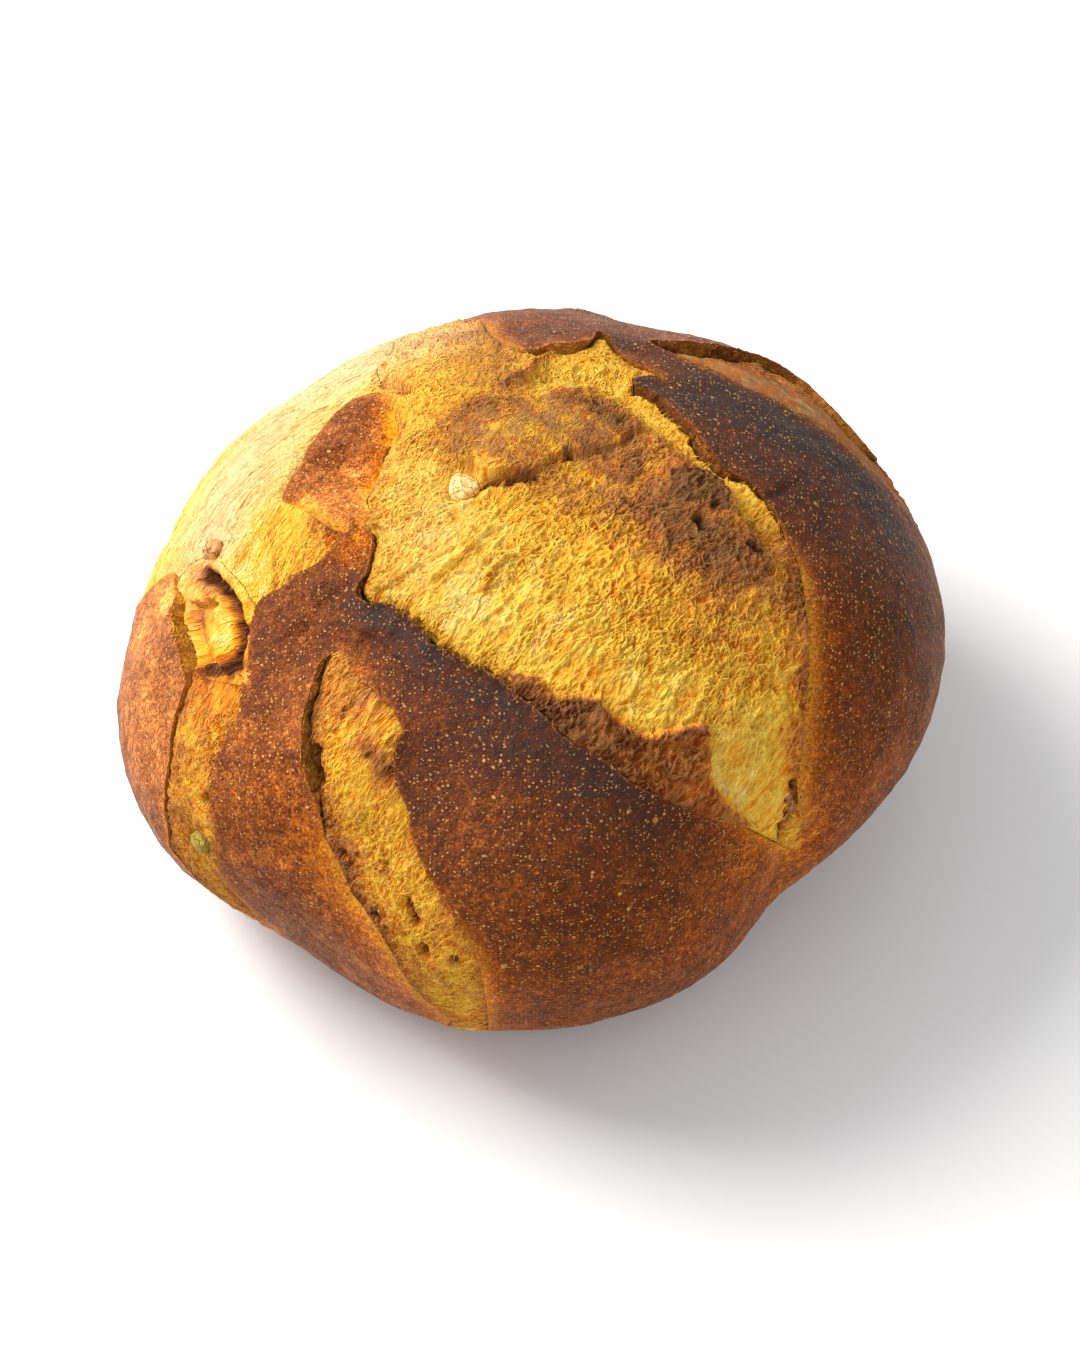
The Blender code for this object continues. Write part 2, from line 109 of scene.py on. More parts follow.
# %% The egg and its outline
HALF_AXES = np.array([0.1075, 0.1075, 0.068])  # of the egg above the heart
HALF_BELOW = 0.082  # its lower half-axis, before the base is flattened
BASE_BLEND = 0.006
SILHOUETTE = [
    (520, 306), (560, 311), (600, 316), (650, 331), (705, 334), (745, 352), (785, 374), (825, 402),
    (862, 438), (890, 482), (922, 530), (938, 575), (946, 635), (942, 690), (920, 748), (885, 800),
    (840, 848), (798, 882), (765, 908), (745, 940), (715, 975), (660, 1002), (600, 1022), (540, 1031),
    (480, 1030), (420, 1020), (370, 996), (320, 958), (270, 926), (215, 894), (168, 864), (146, 822),
    (122, 768), (115, 715), (126, 650), (140, 600), (160, 562), (178, 520), (212, 458), (258, 420),
    (310, 386), (360, 350), (440, 328), (480, 314),
]
SECTORS = 72  # directions in which that outline is compared with the egg's
LEANS = (-40, 60)  # degrees behind and before the outline's plane in which the egg's edge is looked for
ROUNDS = 3
SIDE_ON = 0.75
PROBED = 0.13
PROBES = 521


def egg_radius(directions):
    """Distance from the heart to the plain egg."""
    upright = np.where(directions[..., 2] < 0, HALF_BELOW, HALF_AXES[2])
    level = ((directions[..., :2] / HALF_AXES[:2]) ** 2).sum(axis=-1)
    return 1 / np.sqrt(level + (directions[..., 2] / upright) ** 2)


def sector_angles():
    return np.arange(SECTORS) * 2 * math.pi / SECTORS - math.pi


def outline_factors():
    """How far the seen outline stands out from the plain egg's, sector by sector round the heart."""
    angles = sector_angles()
    heart = projected(HEART[None])[0]
    corners = (np.array(SILHOUETTE, float) - heart) * (1, -1)
    turns = np.arctan2(corners[:, 1], corners[:, 0])
    order = np.argsort(turns)
    reach = np.interp(angles, turns[order], np.linalg.norm(corners, axis=1)[order], period=2 * math.pi)
    towards = (EYE - HEART) / np.linalg.norm(EYE - HEART)
    lean = np.radians(np.arange(*LEANS))
    across = np.cos(angles)[:, None] * RIGHT + np.sin(angles)[:, None] * UP
    directions = (
        np.cos(lean)[None, :, None] * across[:, None, :] + np.sin(lean)[None, :, None] * towards
    )
    factors = np.ones(SECTORS)
    for _ in range(ROUNDS):
        radius = egg_radius(directions) * factors[:, None]
        shown = projected(HEART + radius[..., None] * directions) - heart
        factors *= reach / np.linalg.norm(shown, axis=-1).max(axis=1)
    return (np.roll(factors, 1) + 2 * factors + np.roll(factors, -1)) / 4


FACTORS = outline_factors()


def soft_lowest(first, second, blend):
    """The lower of two values, with a rounded change from one to the other."""
    share = np.clip(0.5 + 0.5 * (second - first) / blend, 0, 1)
    return second + (first - second) * share - blend * share * (1 - share)


def base_radius(directions):
    """Distance from the heart down to the base plane, or a metre where a direction never meets it."""
    return np.where(directions[:, 2] < -1e-3, HEART[2] / np.maximum(-directions[:, 2], 1e-3), 1.0)


def form_radius(directions):
    """Distance from the heart to the loaf's smooth form, down to its flat base."""
    turns = np.arctan2(directions @ UP, directions @ RIGHT)
    factor = np.interp(turns, sector_angles(), FACTORS, period=2 * math.pi)
    sideways = np.clip((1 - (directions @ TOWARDS) ** 2) / SIDE_ON, 0, 1)
    radius = egg_radius(directions) * (1 + (factor - 1) * sideways)
    return soft_lowest(radius, base_radius(directions), BASE_BLEND)


def outward(points):
    """The directions from the heart to these points."""
    away = points - HEART
    return away / np.linalg.norm(away, axis=-1, keepdims=True)


def on_form(directions):
    return HEART + form_radius(directions)[:, None] * directions


def seen(pixels):
    """The places on the smooth form that show at these pixels."""
    pixels = np.array(pixels, float)
    rays = (
        -TOWARDS
        + np.outer((pixels[:, 0] - FRAME[0] / 2) / FOCAL, RIGHT)
        + np.outer((FRAME[1] / 2 - pixels[:, 1]) / FOCAL, UP)
    )
    depths = np.linspace(SEEN_FROM - PROBED, SEEN_FROM + PROBED, PROBES)
    offsets = EYE + depths[None, :, None] * rays[:, None, :] - HEART
    distance = np.linalg.norm(offsets, axis=-1)
    directions = (offsets / distance[..., None]).reshape(-1, 3)
    outside = distance - form_radius(directions).reshape(distance.shape)
    met = (outside < 0).any(axis=1)
    first = np.where(met, (outside < 0).argmax(axis=1), outside.argmin(axis=1))
    rows = np.arange(len(pixels))
    before = outside[rows, np.maximum(first - 1, 0)]
    share = np.where(met, before / np.maximum(before - outside[rows, first], 1e-9), 1.0)
    depth = depths[first - 1] + share * (depths[1] - depths[0])
    return EYE + depth[:, None] * rays


def round_back(angles):
    """Places by compass angle (0 is the front, 90 the right) and height angle from the heart, in degrees."""
    turn, rise = np.radians(np.array(angles, float)).T
    directions = np.stack([np.cos(rise) * np.sin(turn), -np.cos(rise) * np.cos(turn), np.sin(rise)], axis=1)
    return on_form(directions)


print("the outline stands", round(FACTORS.min(), 3), "to", round(FACTORS.max(), 3), "of the egg's")

# %% [markdown]
# ## The tears
# As the loaf rises, its skin splits. Each tear is a closed outline: where it runs, and how far the crust's
# lip stands up along it, in millimetres. A lip of nothing is a soft edge, where crust fades into crumb.
# Real tears are ragged, so the smooth curve through the picks is shaken by noise that is stronger where
# the lip is higher.

# %% Where the crust is torn
OUTLINE_STEP = 0.0006
RAGGED = ((110.0, 0.0007), (330.0, 0.0007), (900.0, 0.00030))  # waves a metre, and how far they push
RAGGED_LIP = 0.0015


def stretch(*runs):
    """One outline from runs of (where, [(a, b, lip in mm), ...]): its places, and its lips in metres."""
    places = [where([pick[:2] for pick in picks]) for where, picks in runs]
    lips = [np.array([pick[2] for pick in picks], float) / 1000 for _, picks in runs]
    return np.concatenate(places), np.concatenate(lips)


def smooth_loop(places, lips):
    """A closed curve through the places, as points OUTLINE_STEP apart, with their lips."""
    corners = np.column_stack([places, lips])
    before, after, beyond = (np.roll(corners, shift, axis=0) for shift in (1, -1, -2))
    points = []
    for p0, p1, p2, p3 in zip(before, corners, after, beyond):
        count = max(2, math.ceil(np.linalg.norm(p2[:3] - p1[:3]) / OUTLINE_STEP))
        t = (np.arange(count) / count)[:, None]
        points.append(
            0.5 * (2 * p1 + (p2 - p0) * t + (2 * p0 - 5 * p1 + 4 * p2 - p3) * t**2)
            + 0.5 * (3 * p1 - 3 * p2 + p3 - p0) * t**3
        )
    points = np.concatenate(points)
    return points[:, :3], np.maximum(points[:, 3], 0)


def torn_loop(places, lips):
    """The outline of a tear on the form, with ragged edges."""
    points, lips = smooth_loop(places, lips)
    push = np.zeros_like(points)
    for waves, reach in RAGGED:
        push += reach * np.array([noise.noise_vector(Vector(point) * waves) for point in points])
    roughness = np.clip(0.12 + lips / RAGGED_LIP, 0, 1.3)
    return on_form(outward(points + push * roughness[:, None])), lips


CROWN_TEAR = stretch(
    (seen, [
        (374, 536, 0.8), (371, 556, 0.6), (367, 574, 0.6), (360, 585, 1), (362, 596, 1.8), (376, 605, 3),
        (390, 603, 3.5), (405, 612, 4), (425, 630, 4), (447, 652, 3.8), (475, 667, 3.4), (503, 680, 3),
        (530, 702, 2), (560, 733, 1.2), (600, 757, 0.8), (640, 786, 0.8), (680, 803, 0.5), (720, 816, 0.4),
        (755, 833, 0.4), (798, 850, 0.3), (800, 820, 0), (800, 780, 0), (803, 740, 0), (806, 700, 0),
        (808, 650, 0), (805, 605, 0), (797, 565, 0.2), (782, 530, 0.5), (765, 500, 0.8), (745, 482, 0.8),
        (722, 468, 0.8), (705, 448, 1.2), (690, 425, 0.9), (668, 403, 0.9), (645, 388, 0.8), (632, 379, 0.9),
        (650, 376, 0.8), (664, 378, 0.4), (652, 369, 0.4), (635, 362, 0.6), (618, 350, 0.6), (602, 334, 1),
        (590, 341, 1), (572, 345, 1.2), (550, 347, 1.2), (532, 350, 0.8), (514, 348, 0.2), (498, 342, 0),
        (486, 332, 0), (478, 322, 0),
    ]),
    (round_back, [
        (196, 22, 0.4), (210, 14, 0.8), (228, 6, 1), (246, 2, 0.8), (262, 5, 0.6),
    ]),
    (seen, [
        (168, 574, 0.4), (175, 590, 0.5), (179, 603, 1.2), (175, 622, 1.5), (179, 642, 1.5), (186, 661, 1.2),
        (192, 675, 0.6), (210, 681, 0.2), (230, 684, 0.2), (242, 684, 0.6), (249, 664, 0.8), (252, 640, 0.8),
        (254, 622, 1), (264, 601, 1.2), (289, 585, 1.2), (293, 577, 1.2), (316, 567, 1.2), (327, 558, 1),
        (340, 543, 0.8), (352, 533, 0.8), (364, 530, 0.8),
    ]),
)
LEFT_TEAR = stretch(
    (seen, [
        (190, 668, 0.5), (205, 664, 0), (222, 666, 0), (236, 672, 0.3), (244, 688, 0.8), (241, 714, 0.8),
        (234, 731, 0.8), (225, 748, 0.8), (214, 768, 0.8), (211, 797, 0.7), (214, 826, 0.6), (217, 856, 0.5),
        (223, 880, 0.4),
    ]),
    (round_back, [(317, -12, 0.3), (314, -23, 0.3), (308, -14, 0.3)]),
    (seen, [
        (186, 868, 0.3), (173, 852, 0.4), (167, 830, 0.5), (165, 800, 0.5), (168, 770, 0.5), (171, 745, 0.5),
        (174, 722, 0.6), (180, 704, 0.6), (188, 686, 0.6),
    ]),
)
FRONT_TEAR = stretch(
    (seen, [
        (334, 652, 0.6), (348, 660, 0.5), (362, 680, 0.5), (380, 697, 0.8), (396, 712, 1.2), (402, 730, 1.5),
        (397, 748, 1.5), (396, 772, 1), (402, 795, 0.8), (409, 812, 0.8), (410, 832, 0.7),
        (417, 852, 0.6), (428, 872, 0.6), (442, 893, 0.5), (455, 915, 0.5), (468, 938, 0.4), (478, 962, 0.3),
        (484, 990, 0.3), (488, 1016, 0.3),
    ]),
    (round_back, [(353, -20, 0.3), (350, -27, 0.3), (347, -20, 0.3)]),
    (seen, [
        (450, 1018, 0), (430, 1003, 0), (412, 985, 0), (398, 962, 0), (385, 940, 0),
        (370, 915, 0), (352, 890, 0), (338, 862, 0.1), (325, 838, 0.3), (320, 812, 0.6), (315, 788, 1.2),
        (308, 765, 1.4), (305, 735, 1.2), (309, 705, 1.2), (316, 680, 1.2), (324, 660, 1),
    ]),
)
RIGHT_TEAR = stretch(
    (seen, [
        (650, 347, 1.5), (675, 355, 0.5), (700, 364, 0.4), (740, 384, 0.4), (780, 401, 0.4), (820, 427, 0.4),
        (850, 452, 0.4), (872, 473, 0.4),
    ]),
    (round_back, [(110, 10, 0.4), (112, -6, 0.3), (117, -22, 0.3), (121, -8, 0.3), (122, 8, 0.5)]),
    (seen, [
        (872, 455, 0.8), (850, 430, 1), (826, 406, 1.2), (800, 384, 1.4), (770, 366, 1.6), (740, 355, 1.8),
        (710, 350, 2), (680, 348, 2),
    ]),
)
BACK_TEAR = stretch(
    (round_back, [
        (172, 20, 1.5), (165, 12, 1.7), (160, 2, 1.7), (158, -9, 1), (159, -18, 0.5), (162, -25, 0.5),
        (166, -18, 0.5), (169, -8, 1), (173, 3, 1.7), (176, 13, 1.7),
    ]),
)
BACK_LEFT_TEAR = stretch(
    (round_back, [
        (228, -1, 1), (222, -7, 1.5), (219, -15, 1), (222, -25, 0.5), (227, -18, 0.5), (232, -9, 1),
        (233, -3, 1),
    ]),
)
ISLAND = stretch(
    (seen, [
        (354, 405, 0.9), (338, 422, 0.9), (321, 443, 0.9), (305, 464, 0.9), (292, 483, 0.8), (284, 500, 0.6),
        (300, 508, 0), (318, 521, 0), (340, 533, 0), (360, 530, 0), (371, 514, 0.2), (366, 500, 0.3),
        (372, 488, 0.2), (379, 472, 0.2), (382, 456, 0.5), (392, 440, 0.2), (401, 424, 0.1),
        (394, 406, 0.2), (384, 395, 0.4), (368, 396, 0.5),
    ]),
)
TEARS = {
    "crown": CROWN_TEAR, "left": LEFT_TEAR, "front": FRONT_TEAR,
    "right": RIGHT_TEAR, "back": BACK_TEAR, "back_left": BACK_LEFT_TEAR,
}
LOOPS = {name: torn_loop(*tear) for name, tear in TEARS.items()}
ISLAND_LOOP = torn_loop(*ISLAND)
EDGES = np.concatenate([places for places, _ in (*LOOPS.values(), ISLAND_LOOP)])
LIPS = np.concatenate([lips for _, lips in (*LOOPS.values(), ISLAND_LOOP)])
print("torn edges:", round(len(EDGES) * OUTLINE_STEP, 2), "m in", len(LOOPS) + 1, "outlines")

# %% [markdown]
# ## Measuring on the skin
# To know whether a point is crust or crumb, the skin is laid flat round its top, and crossings of each
# outline are counted. How far it is to the nearest torn edge comes from a tree of the edge's points.

# %% Inside, outside and how far


def flat_map(points):
    """The skin laid flat round its top."""
    directions = outward(points)
    fall = np.arccos(np.clip(directions[:, 2], -1, 1))
    turn = np.arctan2(directions[:, 1], directions[:, 0])
    return np.stack([fall * np.cos(turn), fall * np.sin(turn)], axis=1)


def inside(spread, outline):
    """Which points of the flat map lie within a closed outline."""
    result = np.zeros(len(spread), bool)
    low, high = outline.min(axis=0), outline.max(axis=0)
    near = np.flatnonzero(((spread > low) & (spread < high)).all(axis=1))
    x, y = spread[near].T
    crossed = np.zeros(len(near), bool)
    for (x0, y0), (x1, y1) in zip(outline, np.roll(outline, -1, axis=0)):
        if y0 != y1:
            crossed ^= ((y < y0) != (y < y1)) & (x < x0 + (y - y0) * (x1 - x0) / (y1 - y0))
    result[near] = crossed
    return result


def in_tear(points, name):
    """Which points lie in one tear, off the patch of crust that stays on its crumb."""
    spread = flat_map(points)
    found = inside(spread, flat_map(LOOPS[name][0]))
    if name == "crown":
        found &= ~inside(spread, flat_map(ISLAND_LOOP[0]))
    return found


def nearest(points, targets):
    """For each point, its distance to the closest target and that target's number."""
    tree = kdtree.KDTree(len(targets))
    for number, target in enumerate(targets):
        tree.insert(target, number)
    tree.balance()
    found = [tree.find(point) for point in points]
    return np.array([hit[2] for hit in found]), np.array([hit[1] for hit in found])


def from_line(points, pixels):
    """How far points are from a line on the form that is named by its pixels."""
    places = seen(pixels)
    if len(places) == 1:
        return np.linalg.norm(points - places[0], axis=1)
    closest = np.full(len(points), np.inf)
    for start, end in zip(places[:-1], places[1:]):
        along = end - start
        share = np.clip((points - start) @ along / (along @ along), 0, 1)
        closest = np.minimum(closest, np.linalg.norm(points - start - share[:, None] * along, axis=1))
    return closest


def drawn(points, marks):
    """What marks add at these points: each is (pixels of a line or spot, amount, half-width)."""
    total = np.zeros(len(points))
    for pixels, amount, width in marks:
        total += amount * np.exp(-((from_line(points, pixels) / width) ** 2))
    return total


# %% [markdown]
# ## Relief and tone
# What the oven did differs from place to place: ridges and hollows, dark shoulders, pale hollows. A mark is
# a line or a spot on the loaf, with an amount and a half-width. A patch is a closed outline, with an amount
# and the width of its border. Heights and widths are in metres; bake and toast run from 0, pale, to 1,
# nearly burnt, and toast also holds painted shade, dark in pores, cracks, slits and under overhangs. Before
# they are measured the points are shaken by noise, so that no border is a clean curve.

# %% Marks and patches
SHAKEN = ((160.0, 0.0010), (520.0, 0.0005))  # waves a metre, and how far they push

TERRACE = [
    (505, 672), (531, 678), (554, 698), (585, 697), (597, 701), (608, 715), (628, 729), (645, 735), (674, 727),
    (704, 724), (706, 761), (710, 781), (722, 798), (752, 827), (709, 820), (668, 810), (628, 793),
    (600, 775), (571, 753), (542, 725), (515, 694),
]
RIDGE = [
    (452, 434), (473, 410), (499, 407), (530, 408), (559, 396), (590, 393), (616, 405), (640, 428),
    (610, 450), (566, 452), (536, 467), (507, 471), (486, 475), (473, 464), (457, 461),
]
DARK_CREST = [
    (572, 440), (590, 433), (612, 447), (637, 457), (641, 471), (626, 482), (605, 474), (588, 468), (575, 456),
]
PIT_HOLLOW = [
    (180, 604), (190, 600), (210, 595), (217, 603), (220, 630), (221, 652), (210, 658), (198, 667), (192, 672),
    (183, 650), (178, 626),
]
DARK_EDGE = [
    (662, 476), (690, 476), (710, 484), (721, 498), (724, 514), (712, 515), (700, 502), (685, 502), (668, 494),
]
CRUST_RELIEF = (
    ([(800, 852), (795, 872), (788, 888)], -0.0040, 0.0070),
    ([(296, 632), (318, 606), (345, 588)], -0.0014, 0.0018),
    ([(270, 612), (300, 596), (330, 576)], 0.0008, 0.0012),
    ([(352, 640), (376, 626), (392, 630)], 0.0008, 0.0016),
    ([(262, 660), (276, 700), (272, 740)], -0.0008, 0.0020),
    ([(300, 640), (330, 640), (352, 650)], -0.0022, 0.0040),
    ([(590, 860)], 0.0016, 0.0260),
    ([(870, 600)], 0.0014, 0.0260),
    ([(265, 760)], 0.0018, 0.0130),
    ([(345, 425)], 0.0016, 0.0080),
    ([(765, 500), (782, 490), (800, 480)], -0.0010, 0.0009),
    ([(320, 455), (345, 440)], 0.0010, 0.0040),
    ([(313, 462), (330, 452), (346, 446), (362, 445), (380, 451)], 0.0016, 0.0012),
    ([(340, 462), (358, 464), (370, 474)], -0.0034, 0.0034),
    ([(386, 412), (390, 428)], -0.0030, 0.0036),
    ([(300, 500), (330, 480)], -0.0008, 0.0030),
    ([(190, 660), (196, 700)], 0.0008, 0.0040),
)
CRUMB_RELIEF = (
    ([(520, 430), (570, 420), (630, 435), (690, 475), (730, 520), (752, 560)], 0.0026, 0.0090),
    ([(530, 376), (560, 368), (612, 376), (645, 402), (676, 432), (708, 466), (742, 500), (768, 545)],
     -0.0030, 0.0030),
    ([(503, 386), (518, 374), (534, 362), (556, 352)], 0.0016, 0.0011),
    ([(668, 470), (700, 480), (722, 497)], 0.0014, 0.0026),
    ([(201, 573), (213, 582), (226, 597), (235, 613), (239, 632), (237, 650), (233, 666)], -0.0040, 0.0015),
    ([(214, 602), (220, 616), (219, 634), (222, 650), (226, 664)], 0.0026, 0.0010),
    ([(400, 345), (340, 372), (290, 412), (250, 460), (225, 520)], 0.0007, 0.0014),
    ([(420, 352), (360, 372), (318, 398)], -0.0008, 0.0010),
    ([(262, 505), (255, 560), (250, 600)], -0.0009, 0.0010),
    ([(300, 474), (283, 512), (275, 560)], 0.0007, 0.0011),
    ([(240, 500), (228, 540), (222, 575)], 0.0006, 0.0011),
    ([(352, 398), (333, 418), (316, 438), (298, 464), (280, 494)], -0.0020, 0.0011),
    ([(346, 392), (326, 412), (308, 434), (288, 464), (272, 494)], 0.0010, 0.0016),
    ([(461, 482)], -0.0042, 0.0050),
    ([(610, 440)], -0.0020, 0.0260),
    ([(787, 832), (792, 808), (797, 785)], -0.0040, 0.0013),
    ([(486, 481), (510, 478), (532, 475)], -0.0056, 0.0014),
    ([(380, 380), (404, 388)], -0.0050, 0.0024),
    ([(400, 362), (386, 370), (374, 378)], 0.0020, 0.0018),
    ([(415, 372)], 0.0016, 0.0030),
    ([(193, 845)], -0.0030, 0.0046),
    ([(600, 580)], 0.0016, 0.0260),
    ([(355, 760)], 0.0014, 0.0120),
    ([(430, 350)], 0.0014, 0.0140),
    ([(703, 526), (697, 519)], -0.0050, 0.0012),
    ([(567, 452)], -0.0060, 0.0008),
    ([(666, 506)], -0.0030, 0.0008),
    ([(710, 509)], -0.0030, 0.0009),
    ([(748, 550), (757, 558)], -0.0036, 0.0010),
    ([(752, 528)], -0.0030, 0.0008),
    ([(763, 573)], -0.0024, 0.0007),
    ([(408, 905), (411, 915), (416, 925)], -0.0046, 0.0012),
    ([(421, 947), (423, 956)], -0.0034, 0.0010),
    ([(403, 935)], -0.0026, 0.0010),
    ([(455, 962)], -0.0026, 0.0012),
    ([(312, 752), (311, 768), (314, 780)], -0.0050, 0.0014),
    ([(376, 915)], -0.0026, 0.0009),
    ([(342, 853)], -0.0026, 0.0009),
    ([(203, 797), (199, 800)], -0.0030, 0.0010),
    ([(430, 578), (440, 568), (458, 556), (475, 546)], 0.0013, 0.0009),
    ([(482, 586), (490, 573), (500, 562), (509, 553)], 0.0014, 0.0009),
    ([(447, 512), (470, 500), (500, 488)], 0.0008, 0.0011),
    ([(560, 630), (590, 610), (616, 600)], 0.0007, 0.0012),
    ([(470, 528), (495, 512), (520, 497)], 0.0009, 0.0012),
    ([(542, 565), (555, 545), (575, 530)], 0.0007, 0.0012),
    ([(230, 560), (242, 600), (247, 640)], 0.0012, 0.0022),
    ([(305, 395), (340, 370), (372, 350)], 0.0008, 0.0020),
    ([(300, 440), (330, 400), (362, 378)], -0.0010, 0.0018),
    ([(585, 697), (600, 700)], 0.0012, 0.0010),
    ([(545, 706), (590, 740), (640, 774)], 0.0011, 0.0011),
    ([(604, 724), (650, 756), (700, 788)], 0.0010, 0.0011),
    ([(640, 742), (690, 750)], -0.0009, 0.0012),
)
CRUMB_PATCHES = (
    (TERRACE, 0.0026, 0.0014),
    (RIDGE, 0.0026, 0.0018),
    (DARK_CREST, 0.0009, 0.0014),
    (DARK_EDGE, 0.0010, 0.0012),
    (PIT_HOLLOW, -0.0036, 0.0018),
)
CRUST_BAKE = (
    ([(372, 605), (430, 655), (500, 700), (560, 745), (620, 785), (680, 812)], 0.26, 0.0110),
    ([(500, 750)], 0.12, 0.0260),
    ([(560, 830), (640, 880)], 0.04, 0.0260),
    ([(650, 385), (720, 398), (800, 430), (860, 480), (895, 530)], 0.36, 0.0100),
    ([(800, 430)], 0.20, 0.0120),
    ([(760, 460), (860, 560), (890, 620)], 0.20, 0.0260),
    ([(630, 345), (700, 372), (760, 400)], 0.25, 0.0070),
    ([(262, 640), (290, 592), (322, 575)], -0.04, 0.0080),
    ([(372, 606), (400, 622), (440, 652)], 0.10, 0.0030),
    ([(410, 750), (425, 850), (470, 930)], 0.10, 0.0080),
    ([(350, 556), (364, 540)], -0.24, 0.0036),
    ([(798, 850), (792, 885)], -0.12, 0.0120),
    ([(790, 920), (850, 820), (900, 740)], -0.08, 0.0180),
    ([(820, 700), (825, 800)], -0.06, 0.0080),
    ([(740, 860), (770, 880)], -0.10, 0.0120),
    ([(140, 640), (138, 700)], -0.26, 0.0200),
    ([(145, 780), (170, 850)], -0.06, 0.0160),
    ([(165, 600), (190, 590)], -0.16, 0.0080),
    ([(265, 760), (290, 860), (380, 970)], -0.14, 0.0200),
    ([(262, 690), (270, 640)], 0.05, 0.0120),
    ([(320, 470), (345, 430)], -0.17, 0.0160),
    ([(300, 508), (340, 530), (366, 500)], -0.10, 0.0070),
    ([(560, 1015), (680, 985)], -0.06, 0.0150),
    ([(470, 900), (486, 1000)], -0.10, 0.0040),
    ([(540, 325)], 0.10, 0.0160),
    ([(330, 455), (356, 420)], 0.12, 0.0070),
    ([(340, 462), (358, 464), (370, 476)], -0.16, 0.0034),
    ([(388, 410), (392, 430)], -0.26, 0.0034),
    ([(520, 372), (560, 346), (598, 342)], -0.22, 0.0030),
    ([(246, 640), (243, 676)], -0.40, 0.0022),
    ([(165, 600), (180, 590), (200, 590)], -0.20, 0.0040),
    ([(700, 345), (760, 365), (830, 405)], 0.16, 0.0030),
)
CALM = (  # where crumb dried to a smooth skin
    ([(680, 358), (740, 376), (800, 400), (860, 445), (880, 480)], 1.2, 0.0120),
)
DRY = (  # where it went tan rather than orange
    ([(470, 440), (540, 430), (610, 430)], 0.6, 0.0100),
    ([(600, 490), (680, 510), (730, 560)], 0.4, 0.0110),
    ([(480, 345), (500, 395)], 0.5, 0.0110),
)
CRUST_GOLD = (  # where the browning is orange and gold rather than purple
    ([(560, 1000), (680, 960), (760, 880)], 0.9, 0.0260),
    ([(600, 920)], 0.5, 0.0260),
    ([(860, 720), (840, 800)], 1.0, 0.0260),
    ([(870, 640)], 0.5, 0.0160),
    ([(815, 620), (818, 760)], 0.8, 0.0060),
    ([(300, 870), (420, 990)], 0.7, 0.0200),
    ([(265, 790)], 0.35, 0.0160),
    ([(350, 552), (364, 538)], 1.0, 0.0050),
    ([(388, 410), (392, 430), (366, 476)], 1.0, 0.0040),
)
